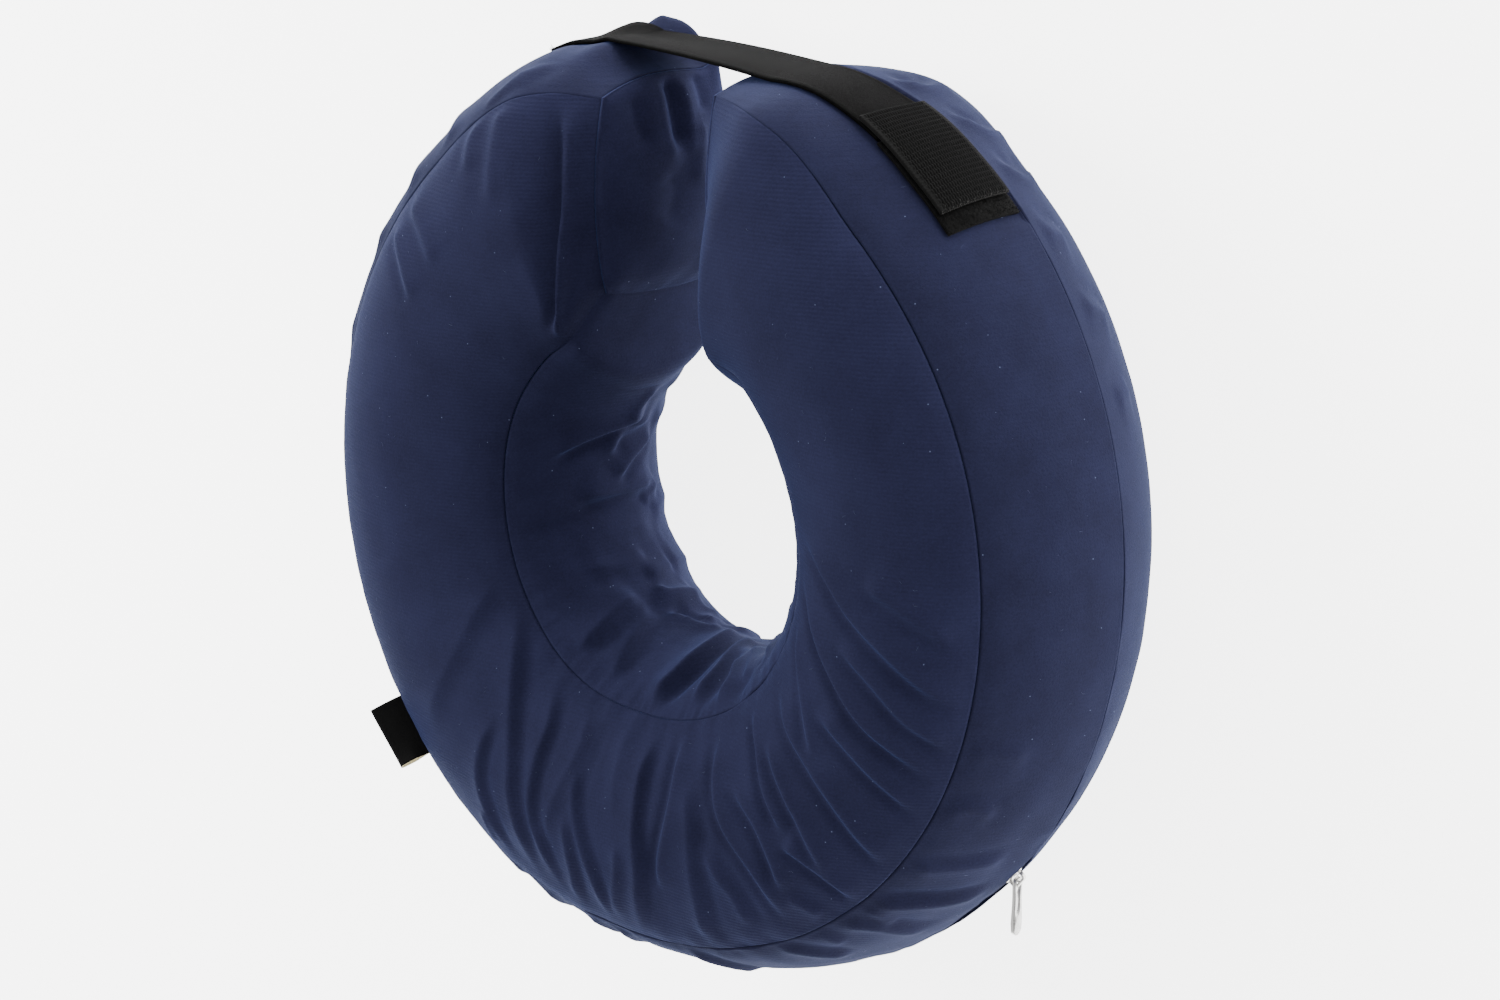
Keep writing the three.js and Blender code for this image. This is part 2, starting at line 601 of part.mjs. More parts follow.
// A place over the outer bands, on the strap's line; at runs below zero on the right arm. The strap slants:
// it lies on the rear half of the left arm and on the front half of the right arm.
function strapSpot(at, aside, lift) {
  const section = sectionAt(at < 0 ? at + 360 : at);
  const across = at < 0 ? STRAP_ACROSS_RIGHT : STRAP_ACROSS_LEFT;
  const { length } = spotOn(section, 'outer', across);
  const spot = spotOn(section, 'outer', across + aside / length);
  return inSpace(section, spot.point.addScaledVector(spot.normal, lift));
}

// A strip on the outer bands between two angles
function bandStrip(fromAt, toAt, width, lift, thick) {
  return slab(STRIP_STEPS, STRIP_ROWS, (i, j, isInner) => {
    const at = THREE.MathUtils.lerp(fromAt, toAt, i / STRIP_STEPS);
    return strapSpot(at, (j / STRIP_ROWS - 0.5) * width, lift + (isInner ? 0 : thick));
  });
}

// Where the taut strap leaves each arm: the places that its straight stretch just touches
function strapTouches() {
  const touch = (from, to, slope) => {
    let best = { at: from, height: -Infinity };
    for (let at = from; at <= to; at += STRAP_SEARCH_STEP) {
      const place = strapSpot(at, 0, 0);
      const height = place.y - slope * place.x;
      if (height > best.height) best = { at, height };
    }
    return best.at;
  };
  let left = STRAP_FROM;
  let right = STRAP_TO - 360;
  for (let pass = 0; pass < STRAP_SEARCH_PASSES; pass += 1) {
    const [start, end] = [strapSpot(left, 0, 0), strapSpot(right, 0, 0)];
    const slope = (end.y - start.y) / (end.x - start.x);
    left = touch(FIRST_AT, STRAP_FROM, slope);
    right = touch(STRAP_TO - 360, LAST_AT - 360, slope);
  }
  return { left, right };
}

// The webbing lies on both arms and runs straight between the places where it leaves them
function closureStrap() {
  const { left, right } = strapTouches();
  const stations = [];
  for (let i = 0; i <= STRAP_END_STEPS; i += 1) {
    stations.push({ at: THREE.MathUtils.lerp(STRAP_FROM, left, i / STRAP_END_STEPS) });
  }
  for (let i = 1; i < STRAP_SPAN_STEPS; i += 1) {
    stations.push({ bridged: i / STRAP_SPAN_STEPS });
  }
  for (let i = 0; i <= STRAP_LAID_STEPS; i += 1) {
    stations.push({ at: THREE.MathUtils.lerp(right, STRAP_TO - 360, i / STRAP_LAID_STEPS) });
  }
  return slab(stations.length - 1, STRIP_ROWS, (i, j, isInner) => {
    const aside = (j / STRIP_ROWS - 0.5) * STRAP_WIDTH;
    const lift = CLEAR + (isInner ? 0 : STRAP_THICK);
    const { at, bridged } = stations[i];
    if (bridged === undefined) return strapSpot(at, aside, lift);
    return strapSpot(left, aside, lift).lerp(strapSpot(right, aside, lift), bridged);
  });
}

// The label's frame in the front outer seam: x out of the seam, y through its plies, z along the seam
function labelFrame() {
  const section = sectionAt(LABEL_AT);
  const normals = [spotOn(section, 'front', 1).normal, spotOn(section, 'outer', 0).normal];
  const away = normals[0].add(normals[1]).normalize();
  const seam = inSpace(section, section.frontOut);
  const outward = inSpace(section, section.frontOut.clone().add(away)).sub(seam);
  const origin = seam.addScaledVector(outward, CLEAR + LABEL_THICK / 4);
  const along = section.out.clone().cross(UP).normalize();
  return new THREE.Matrix4().makeBasis(outward, along.clone().cross(outward), along).setPosition(origin);
}

function sideLabel() {
  const half = LABEL_THICK / 2;
  const gap = half - LABEL_PLY;
  const gapEnd = LABEL_LENGTH - LABEL_PLY;
  const outline = mirrored([[0, half], [LABEL_LENGTH - half, half], [LABEL_LENGTH, half / 2]]);
  const fold = mirrored([[LABEL_PLY, gap], [gapEnd - gap, gap], [gapEnd, gap / 2]]);
  return extruded(outline, LABEL_WIDTH, fold).translate(0, 0, -LABEL_WIDTH / 2);
}

const COLUMNS = clothColumns();
const collar = new THREE.Group();

function add(name, geometry, look, frame = new THREE.Matrix4()) {
  const mesh = new THREE.Mesh(geometry, new THREE.MeshStandardMaterial(look));
  mesh.name = name;
  mesh.applyMatrix4(frame);
  collar.add(mesh);
}

const cloth = { color: '#1b2747', roughness: 0.95, metalness: 0 };
const webbing = { color: '#161513', roughness: 0.85, metalness: 0 };
const metal = { color: '#cfcdc8', roughness: 0.3, metalness: 1 };

add('cover_front_panel', clothPanel('front', FRONT_ROWS), cloth);
add('cover_back_panel', clothPanel('back', BACK_ROWS), cloth);
add('cover_inner_band', clothPanel('inner', INNER_ROWS), cloth);
add('outer_band_front', clothPanel('outer', BAND_ROWS, 0, CROWN_SEAM), cloth);
add('outer_band_back', clothPanel('outer', BAND_ROWS, CROWN_SEAM, 1), cloth);
add('end_cap_left', endCap(FIRST_AT, 1), cloth);
add('end_cap_right', endCap(LAST_AT, -1), cloth);
add('air_bladder', airBladder(), { color: '#8f9aa6', roughness: 0.4, metalness: 0 });

add('zip_chain', zipChain(), { color: '#14151a', roughness: 0.7, metalness: 0 });
const onZip = sliderFrame();
add('zip_slider', zipSlider(), metal, onZip);
const hinge = new THREE.Matrix4().makeTranslation(0, 0, CLEAR + SLIDER_THICK + BRIDGE_HEIGHT / 2);
const swing = new THREE.Matrix4().makeRotationY(-PULL_REST_TURN * DEG);
add('zip_pull', zipPull(), metal, onZip.clone().multiply(hinge).multiply(swing));

add('closure_strap', closureStrap(), webbing);
add('hook_tape', bandStrip(HOOK_FROM - 360, HOOK_TO - 360, STRAP_WIDTH, HOOK_LIFT, HOOK_THICK), webbing);
add('loop_patch', bandStrip(PATCH_FROM - 360, PATCH_TO - 360, PATCH_WIDTH, CLEAR, PATCH_THICK), webbing);
add('side_label', sideLabel(), { color: '#17171a', roughness: 0.8, metalness: 0 }, labelFrame());

collar.updateMatrixWorld(true);
const extent = new THREE.Box3().setFromObject(collar);
const middle = extent.getCenter(new THREE.Vector3());
collar.position.set(-middle.x, -middle.y, -extent.min.z);
collar.updateMatrixWorld(true);

export default collar;
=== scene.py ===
# Inflatable recovery collar: the dressed model, in metres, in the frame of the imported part.
# The collar lies on its back. Z is the axis of the neck opening, and +Y points at the gap between the arms.
import json
import math
from collections import namedtuple

import bpy
import numpy as np
from mathutils import Matrix, Vector


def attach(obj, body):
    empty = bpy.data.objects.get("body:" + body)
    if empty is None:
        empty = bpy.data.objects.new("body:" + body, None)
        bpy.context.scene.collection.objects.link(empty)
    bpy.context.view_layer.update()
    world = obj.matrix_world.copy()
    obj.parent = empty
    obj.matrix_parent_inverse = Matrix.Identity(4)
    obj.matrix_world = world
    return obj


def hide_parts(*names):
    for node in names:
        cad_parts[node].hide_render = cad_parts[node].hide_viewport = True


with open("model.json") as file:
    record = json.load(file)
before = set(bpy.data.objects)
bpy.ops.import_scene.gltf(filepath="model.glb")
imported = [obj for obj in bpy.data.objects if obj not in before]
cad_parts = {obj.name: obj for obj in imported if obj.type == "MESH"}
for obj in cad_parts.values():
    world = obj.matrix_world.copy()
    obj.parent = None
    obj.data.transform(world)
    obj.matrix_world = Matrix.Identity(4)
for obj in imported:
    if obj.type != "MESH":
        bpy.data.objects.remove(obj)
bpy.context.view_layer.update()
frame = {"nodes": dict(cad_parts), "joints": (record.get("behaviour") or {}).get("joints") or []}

MM = 0.001
DEG = math.pi / 180
FULL_TURN = 360

# The ring and its section, measured from the ring's centreline to the seams
RING_RADIUS = 107 * MM
OUTER_HALF = 39 * MM
INNER_HALF = 40 * MM
SEAM_HALF_DEPTH = 39.5 * MM
FACE_BULGE = 14 * MM
OUTER_BULGE = 16.5 * MM
INNER_BULGE = 17.5 * MM
REST_FLAT = 3 * MM
GAP_HALF = 24 * MM
LEAN_REACH = 40
CAP_DOME = 8 * MM
CLOTH = 1.2 * MM
PANEL_END = 2.3 * MM
CROWN_SEAM = 0.55
CLEAR = 0.3 * MM
FLOOR = REST_FLAT - SEAM_HALF_DEPTH - FACE_BULGE

# Seams: the cloth's edges turn in, and nearly touch
SEAM_TOUCH = 0.06 * MM
SEAM_ROLL = 0.8 * MM
SEAM_PINCH = 0.5 * MM
SEAM_PINCH_REACH = 3.5 * MM
CAP_TUCK = PANEL_END - CLOTH
END_SEAM_DEPTH = 0.55
END_CALM = 4 * MM
CROWN_SEAM_DEPTH = 0.4
CROWN_RIDGE = 1.8 * MM
CROWN_RIDGE_REACH = 9 * MM

# How strongly the folds stand out, and how round their crests are
DRAPE = 1.35
NOTCH_DEPTH = 3.6 * MM
NOTCH_REACH = 3.4 * MM
CREST_ROUND = 0.8 * MM

# Where the arms' ends are fuller or slacker than the sections: a place in mm from the ring's centre, how
# far it reaches along the three axes, and how far it moves the cloth along Y. The strap follows these, but
# not the puff that stands up behind it.
Tip = namedtuple("Tip", "x y z wide tall deep lift")
ARM_TIPS = [
    Tip(-57.4, 145, -27, 27.3, 30, 12.5, 8.3),
    Tip(-42.6, 147, 4, 7.3, 24, 20, 3.6),
    Tip(-25, 64, 0, 10, 12, 34, 5),
    Tip(66.6, 142, 0.4, 29.5, 34, 31.7, -9.2),
]
PUFF_BEHIND_STRAP = Tip(-33, 148, -29.5, 20, 16, 5.5, 9.5)
CLOTH_TIPS = [*ARM_TIPS, PUFF_BEHIND_STRAP]

# The zip and its slider
ZIP_FROM = 150
ZIP_TO = 233
ZIP_LIP_GAP = 1.0 * MM
ZIP_TAPE_DEPTH = 1.5 * MM
ZIP_PITCH = 1.5 * MM
SLIDER_AT = 229.5
SLIDER_LENGTH = 8 * MM
SLIDER_WIDTH = 5.6 * MM
SLIDER_THICK = 1.2 * MM
BRIDGE_WINDOW = 4.6 * MM
BRIDGE_BAR = 0.9 * MM
BRIDGE_WIDTH = 1.5 * MM
PULL_LENGTH = 20 * MM
PULL_WIDTH = 4.6 * MM
PULL_THICK = 1 * MM
PULL_BAR = 1.1 * MM
PULL_REST_TURN = 37
BRIDGE_HEIGHT = math.hypot(PULL_BAR, PULL_THICK) + 0.6 * MM

# The strap, its hook tape and the loop patch
STRAP_ACROSS_LEFT = 0.62
STRAP_ACROSS_RIGHT = 0.39
STRAP_WIDTH = 28 * MM
STRAP_THICK = 1.3 * MM
STRAP_FROM = 28.5
STRAP_ARCH = 0.9 * MM
STRAP_TO = 326
HOOK_THICK = 1.5 * MM
HOOK_FROM = 329
HOOK_TO = 314.8
PATCH_WIDTH = 30 * MM
PATCH_THICK = 1.3 * MM
PATCH_FROM = 325.6
PATCH_TO = 312.5
HOOK_LIFT = 2 * CLEAR + max(STRAP_THICK, PATCH_THICK)
HOOK_ROW = 1.7 * MM
HOOK_DASH = 0.95 * MM
HOOK_RELIEF = 0.65 * MM

# The side label
LABEL_AT = 128.8
LABEL_WIDTH = 23 * MM
LABEL_LENGTH = 10 * MM
LABEL_THICK = 1.8 * MM
LABEL_PLY = 0.45 * MM
LABEL_SEWN_DEPTH = 2.4 * MM

# Sections round the ring. at: degrees from the gap's middle, over the left arm. ring: share of RING_RADIUS.
# wide: share of the half widths. deep: share of SEAM_HALF_DEPTH. bulge: share of the three bulges.
# back: share of FACE_BULGE on the rear panel.
Section = namedtuple("Section", "at ring wide deep bulge back")
SECTIONS = [
    Section(0, 1.0, 0.85, 0.69, 0.32, 0.4),
    Section(26, 0.99, 1.05, 0.97, 0.85, 0.85),
    Section(42, 0.99, 1.0, 0.94, 1.03, 1.1),
    Section(70, 1.0, 1.01, 0.94, 0.98, 1.15),
    Section(110, 1.0, 1.03, 0.95, 0.95, 1.12),
    Section(145, 1.0, 1.03, 0.97, 0.91, 1.05),
    Section(180, 0.97, 1.0, 0.98, 0.88, 1.0),
    Section(215, 0.98, 0.97, 1.0, 0.9, 1.0),
    Section(250, 1.0, 0.95, 1.04, 0.98, 0.93),
    Section(290, 1.02, 0.93, 1.1, 1.05, 0.85),
    Section(318, 1.04, 0.9, 1.15, 1.1, 0.75),
    Section(334, 1.05, 1.04, 1.14, 0.88, 0.55),
    Section(360, 1.04, 0.91, 0.75, 0.32, 0.4),
]
END_X = GAP_HALF + PANEL_END
FIRST_AT = math.asin(END_X / (RING_RADIUS * SECTIONS[0].ring)) / DEG
LAST_AT = FULL_TURN - math.asin(END_X / (RING_RADIUS * SECTIONS[-1].ring)) / DEG
SECTIONS[0] = SECTIONS[0]._replace(at=FIRST_AT)
SECTIONS[-1] = SECTIONS[-1]._replace(at=LAST_AT)

# Folds. run: the places that the crest goes through, as degrees round the ring and share across the side,
# towards the higher share. tall: the crest's height in mm, below zero for a crease. left and right: how far
# the cloth slopes away on each side of the crest, in mm. dip: how deep the valley beside it is, as a share of
# tall, on the right side, or on the left side if it is below zero.
Fold = namedtuple("Fold", "run tall left right dip")
FRONT_FOLDS = [
    Fold([(30, 0.04), (22, 0.13), (18, 0.39), (17, 0.6), (17, 0.8), (18, 0.99)], 3.0, 9.0, 1.8, 0.8),
    Fold([(25, 0.03), (17.5, 0.2), (15.5, 0.42)], -2.1, 2.0, 2.0, 0.0),
    Fold([(29, 0.58), (27, 0.82), (26, 0.99)], 1.0, 4.0, 3.5, 0.4),
    Fold([(33, 0.78), (32, 0.92), (30, 0.98)], 0.8, 3.5, 3.0, 0.4),
    Fold([(46, 0.58), (46, 0.75), (47, 0.96)], 1.0, 4.5, 2.5, 0.4),
    Fold([(55, 0.58), (53, 0.75), (52, 0.94)], 1.1, 4.5, 2.5, 0.6),
    Fold([(114, 0.08), (119, 0.2), (125, 0.37), (129, 0.56), (132, 0.78)], 0.9, 8.0, 3.5, 0.25),
    Fold([(121, 0.03), (133, 0.13), (143, 0.28), (149, 0.42), (153, 0.58), (157, 0.73), (160, 0.94)],
         1.8, 8.0, 2.5, 0.35),
    Fold([(141, 0.33), (143, 0.52), (146, 0.67), (150, 0.77), (155, 0.94)], 1.5, 7.0, 2.0, 0.3),
    Fold([(148, 0.76), (150, 0.84), (151, 0.92)], 0.9, 3.5, 1.5, 0.25),
    Fold([(146, 0.04), (153, 0.2), (155, 0.37), (158, 0.6), (161, 0.7), (166, 0.94)], 1.5, 5.5, 2.0, 0.3),
    Fold([(160, 0.04), (164, 0.2), (163, 0.39), (162, 0.52), (163, 0.72)], 1.0, 4.0, 3.5, 0.3),
    Fold([(165, 0.49), (167, 0.62), (168, 0.75), (168, 0.94)], 1.3, 4.0, 2.0, 0.3),
    Fold([(166, 0.27), (167, 0.42), (170, 0.58), (173, 0.76), (174, 0.97)], 1.4, 4.5, 2.0, 0.3),
    Fold([(177, 0.05), (177, 0.25), (178, 0.43)], 0.7, 4.0, 3.5, 0.2),
    Fold([(179, 0.53), (178, 0.68), (175, 0.94)], 1.0, 3.0, 2.5, 0.25),
    Fold([(188, 0.05), (185, 0.23), (184, 0.45), (183, 0.68), (179, 0.98)], 1.9, 7.0, 2.0, 0.25),
    Fold([(199, 0.05), (196, 0.23), (193, 0.41), (189, 0.58), (188, 0.72)], 1.3, 1.8, 7.0, -0.8),
    Fold([(199, 0.25), (199, 0.4), (197, 0.55), (194, 0.81), (192, 0.95)], 1.1, 3.5, 3.0, 0.6),
    Fold([(213, 0.08), (209, 0.28), (208, 0.45), (210, 0.66), (210, 0.95)], 1.4, 2.0, 7.0, -0.8),
    Fold([(200, 0.49), (202, 0.65), (203, 0.75), (202, 0.9)], 1.1, 3.5, 3.0, 0.6),
    Fold([(228, 0.08), (225, 0.27), (222, 0.44), (221, 0.62)], 1.4, 1.8, 8.0, -0.9),
    Fold([(214, 0.3), (216, 0.5), (215, 0.66), (213, 0.8)], 1.3, 1.8, 6.0, -0.8),
    Fold([(241, 0.13), (237, 0.3), (235, 0.5), (233, 0.68), (231, 0.85), (230, 0.97)], 1.3, 2.0, 6.5, -0.8),
    Fold([(230, 0.25), (227, 0.45), (225, 0.63), (222, 0.86)], 1.3, 1.8, 5.0, -0.7),
    Fold([(258, 0.11), (249, 0.23), (242, 0.38), (237, 0.5)], 1.2, 1.8, 5.0, -0.6),
    Fold([(271, 0.11), (261, 0.27), (255, 0.4), (250, 0.58), (248, 0.75), (246, 0.98)], 1.8, 2.0, 9.5, -0.9),
    Fold([(246, 0.39), (244, 0.57), (242, 0.75), (240, 0.97)], 1.3, 1.8, 5.5, -0.8),
    Fold([(281, 0.16), (273, 0.33), (267, 0.47), (263, 0.62), (259, 0.8), (257, 0.98)], 1.7, 2.2, 9.5, -0.8),
    Fold([(261, 0.41), (257, 0.6), (253, 0.78), (251, 0.98)], 1.3, 1.8, 6.0, -0.8),
    Fold([(273, 0.53), (269, 0.72), (265, 0.92)], 1.3, 2.2, 5.5, -0.6),
    Fold([(219, 0.61), (221, 0.75), (222, 1.0)], 1.4, 1.8, 6.0, -0.8),
    Fold([(213, 0.8), (215, 0.96)], 0.9, 3.0, 2.5, 0.3),
]
OUTER_FOLDS = [
    Fold([(251, 0.02), (251, 0.26)], 0.6, 3.5, 3.0, 0.3),
    Fold([(241, 0.01), (243, 0.12), (242, 0.22)], 0.8, 3.5, 3.0, 0.4),
    Fold([(231, 0.02), (233, 0.2), (235, 0.4)], 1.0, 5.5, 2.5, 0.5),
    Fold([(222, 0.02), (225, 0.2), (228, 0.46)], 1.4, 5.5, 2.5, 0.6),
    Fold([(221, 0.03), (220, 0.19)], 0.8, 3.0, 2.5, 0.3),
    Fold([(215, 0.01), (218, 0.15), (218, 0.4)], 1.1, 3.5, 3.0, 0.6),
    Fold([(211, 0.01), (212, 0.14)], 0.7, 3.0, 2.5, 0.3),
    Fold([(203, 0.01), (206, 0.12), (209, 0.27)], 1.1, 3.5, 3.0, 0.6),
    Fold([(186, 0.02), (189, 0.2), (190, 0.36)], 1.1, 5.5, 2.5, 0.6),
    Fold([(174, 0.02), (173, 0.22)], 0.9, 3.5, 3.0, 0.4),
    Fold([(168, 0.02), (170, 0.3)], 1.0, 4.5, 2.5, 0.4),
    Fold([(160, 0.02), (161, 0.26)], 1.0, 4.5, 2.5, 0.4),
    Fold([(154, 0.02), (153, 0.2)], 0.8, 3.5, 3.0, 0.4),
    Fold([(24, 0.18), (27, 0.08), (31, 0.02)], 0.9, 3.0, 2.5, 0.4),
    Fold([(23, 0.22), (25, 0.04)], 0.8, 3.0, 2.5, 0.4),
    Fold([(210, 0.98), (213, 0.82), (212, 0.66)], 1.0, 4.5, 2.5, 0.4),
    Fold([(190, 0.98), (187, 0.84), (188, 0.7)], 1.0, 4.5, 2.5, 0.4),
    Fold([(168, 0.98), (171, 0.8)], 0.9, 4.5, 2.5, 0.4),
    Fold([(150, 0.98), (147, 0.84)], 0.8, 3.5, 3.0, 0.4),
    Fold([(334, 0.58), (332, 0.7), (333, 0.86)], 1.3, 3.5, 3.0, 0.6),
    Fold([(327, 0.6), (324, 0.74), (325, 0.9)], 1.2, 4.5, 2.5, 0.6),
    Fold([(319, 0.6), (317, 0.72), (319, 0.86)], 1.1, 3.5, 3.0, 0.6),
    Fold([(310, 0.6), (309, 0.74)], 0.9, 4.0, 3.5, 0.4),
    Fold([(301, 0.62), (299, 0.8)], 0.9, 4.0, 3.5, 0.4),
    Fold([(290, 0.64), (291, 0.78)], 0.8, 4.0, 3.5, 0.4),
    Fold([(24, 0.66), (22, 0.8), (24, 0.95)], 1.3, 3.5, 3.0, 0.6),
    Fold([(34, 0.62), (33, 0.78)], 1.0, 4.0, 3.5, 0.4),
    Fold([(38, 0.02), (39, 0.2), (41, 0.42)], 0.8, 5.0, 4.0, 0.3),
    Fold([(47, 0.02), (48, 0.22), (46, 0.4)], 0.9, 6.0, 4.5, 0.3),
    Fold([(58, 0.02), (59, 0.18), (62, 0.36)], 0.9, 7.0, 5.0, 0.3),
    Fold([(72, 0.02), (73, 0.24)], 0.7, 7.0, 5.5, 0.3),
]
INNER_FOLDS = [
    Fold([(172, 0.32), (180, 0.5), (183, 0.7), (182, 0.85), (178, 0.97)], 3.2, 8.0, 2.5, 0.4),
    Fold([(185, 0.38), (192, 0.53), (198, 0.75), (196, 0.97)], 2.1, 3.0, 3.0, 0.6),
    Fold([(194, 0.48), (204, 0.66), (211, 0.83), (208, 0.97)], 1.8, 2.0, 4.0, 0.6),
    Fold([(201, 0.5), (216, 0.75), (220, 0.9)], 1.7, 2.0, 4.0, 0.6),
    Fold([(210, 0.4), (224, 0.62), (232, 0.9)], 1.6, 3.5, 3.0, 0.6),
    Fold([(142, 0.2), (141, 0.32), (140, 0.44), (135, 0.49)], 2.1, 2.5, 4.5, 0.6),
    Fold([(146, 0.51), (156, 0.48), (167, 0.48), (176, 0.45)], 2.1, 3.5, 3.0, 0.6),
    Fold([(136, 0.56), (141, 0.76), (145, 0.94)], 2.0, 8.5, 3.0, 0.35),
    Fold([(142, 0.54), (152, 0.73), (162, 0.95)], 1.8, 8.0, 3.0, 0.3),
    Fold([(121, 0.42), (123, 0.58), (120, 0.76)], 1.3, 3.5, 3.0, 0.6),
    Fold([(127, 0.28), (131, 0.48)], 1.2, 3.5, 3.0, 0.4),
    Fold([(60, 0.38), (64, 0.55), (70, 0.7), (79, 0.86)], 2.2, 5.5, 2.0, 0.7),
    Fold([(42, 0.45), (54, 0.49), (63, 0.51)], 1.2, 2.0, 4.0, 0.4),
    Fold([(66, 0.3), (67, 0.47), (71, 0.54), (80, 0.57)], 1.6, 3.0, 2.5, 0.6),
    Fold([(75, 0.27), (80, 0.41), (89, 0.53)], 1.6, 4.0, 2.0, 0.6),
    Fold([(94, 0.24), (95, 0.48), (92, 0.72)], 1.8, 7.0, 2.5, 0.6),
    Fold([(96, 0.36), (98, 0.6), (102, 0.8), (106, 0.95)], -1.6, 2.0, 2.5, 0.0),
    Fold([(95, 0.22), (102, 0.34)], 1.2, 3.0, 2.5, 0.4),
    Fold([(112, 0.3), (110, 0.55), (113, 0.8)], 1.0, 4.5, 4.0, 0.4),
    Fold([(150, 0.2), (157, 0.36)], 1.3, 3.5, 3.0, 0.6),
    Fold([(165, 0.05), (168, 0.3)], 1.3, 5.5, 2.5, 0.6),
    Fold([(188, 0.04), (186, 0.3)], 1.3, 5.5, 2.5, 0.6),
    Fold([(240, 0.15), (244, 0.5), (249, 0.88)], 1.6, 5.5, 2.5, 0.6),
    Fold([(258, 0.2), (256, 0.6), (262, 0.9)], 1.3, 5.5, 2.5, 0.6),
    Fold([(272, 0.12), (268, 0.5), (266, 0.85)], 1.4, 5.5, 3.0, 0.6),
    Fold([(300, 0.2), (294, 0.55), (291, 0.88)], 1.3, 4.5, 4.0, 0.6),
    Fold([(322, 0.3), (316, 0.6), (314, 0.85)], 1.0, 4.5, 4.0, 0.3),
    Fold([(50, 0.02), (53, 0.32)], 0.8, 6.0, 5.0, 0.3),
    Fold([(70, 0.01), (72, 0.28)], 0.9, 6.5, 4.5, 0.3),
    Fold([(102, 0.02), (105, 0.3)], 1.0, 7.0, 4.5, 0.4),
    Fold([(124, 0.02), (127, 0.3)], 1.1, 6.5, 4.5, 0.4),
]
BACK_FOLDS = [
    Fold([(150, 0.02), (146, 0.5)], 1.4, 5.0, 4.0, 0.4),
    Fold([(168, 0.02), (171, 0.6)], 1.6, 5.0, 4.0, 0.4),
    Fold([(190, 0.02), (186, 0.5)], 1.6, 5.0, 4.0, 0.4),
    Fold([(208, 0.02), (212, 0.6)], 1.4, 5.0, 4.0, 0.4),
    Fold([(176, 0.55), (180, 0.98)], 1.2, 4.0, 4.0, 0.4),
    Fold([(160, 0.5), (152, 0.98)], 1.1, 4.0, 4.0, 0.4),
    Fold([(198, 0.5), (206, 0.98)], 1.1, 4.0, 4.0, 0.4),
    Fold([(228, 0.4), (238, 0.98)], 0.9, 4.0, 4.0, 0.4),
    Fold([(130, 0.45), (122, 0.98)], 0.9, 4.0, 4.0, 0.4),
]

# Gathers in the end caps. run: places across the cap from its rear edge and out from its neck edge
CAP_FOLDS = [
    Fold([(0.49, 0.66), (0.49, 0.82), (0.49, 0.99)], -2.6, 2.6, 2.6, 0.0),
    Fold([(0.56, 0.62), (0.58, 0.8), (0.58, 0.98)], 1.3, 1.6, 4.0, 0.0),
    Fold([(0.44, 0.62), (0.4, 0.8), (0.39, 0.98)], 1.2, 4.0, 1.6, 0.0),
    Fold([(0.7, 0.7), (0.76, 0.82), (0.78, 0.95)], -1.3, 2.6, 2.6, 0.0),
    Fold([(0.26, 0.8), (0.24, 0.98)], -1.3, 2.4, 2.4, 0.0),
    Fold([(0.4, 0.5), (0.35, 0.66), (0.32, 0.8)], 0.9, 3.0, 3.0, 0.3),
    Fold([(0.62, 0.36), (0.55, 0.5), (0.6, 0.6)], -0.9, 5.0, 5.0, 0.0),
]

# How far folds fade towards the seams, and where the zip seam's ridge sinks beside the slider
SEAM_FADE_REACH = 4 * MM
CROWN_DIP_AT = 223
CROWN_DIP_WIDTH = 5
CROWN_DIP = 0.62

# How finely the cloth is divided
CALM_STEP = 1.5 * MM
FOLDED_STEP = 0.95 * MM
ROW_STEP = 1.17 * MM
FOLDED_STRETCH = (108, 285)
NEAR_SEAM = np.array([0, 0.1, 0.3, 0.6, 1.0, 1.5, 2.2, 3.1, 4.2]) * MM


# The form

def smooth_between(column, at):
    """A table column at these angles, on a smooth curve that never overshoots the rows."""
    x = np.array([row.at for row in SECTIONS], float)
    y = np.array([getattr(row, column) for row in SECTIONS], float)
    slope = np.diff(y) / np.diff(x)
    product = slope[:-1] * slope[1:]
    total = np.where(product > 0, slope[:-1] + slope[1:], 1)
    steep = np.concatenate([slope[:1], np.where(product > 0, 2 * product / total, 0), slope[-1:]])
    k = np.clip(np.searchsorted(x, at, side="left") - 1, 0, len(x) - 2)
    span = x[k + 1] - x[k]
    t = np.clip((at - x[k]) / span, 0, 1)
    rise, start, end = y[k + 1] - y[k], steep[k] * span, steep[k + 1] * span
    return y[k] + t * (start + t * (3 * rise - 2 * start - end + t * (start + end - 2 * rise)))


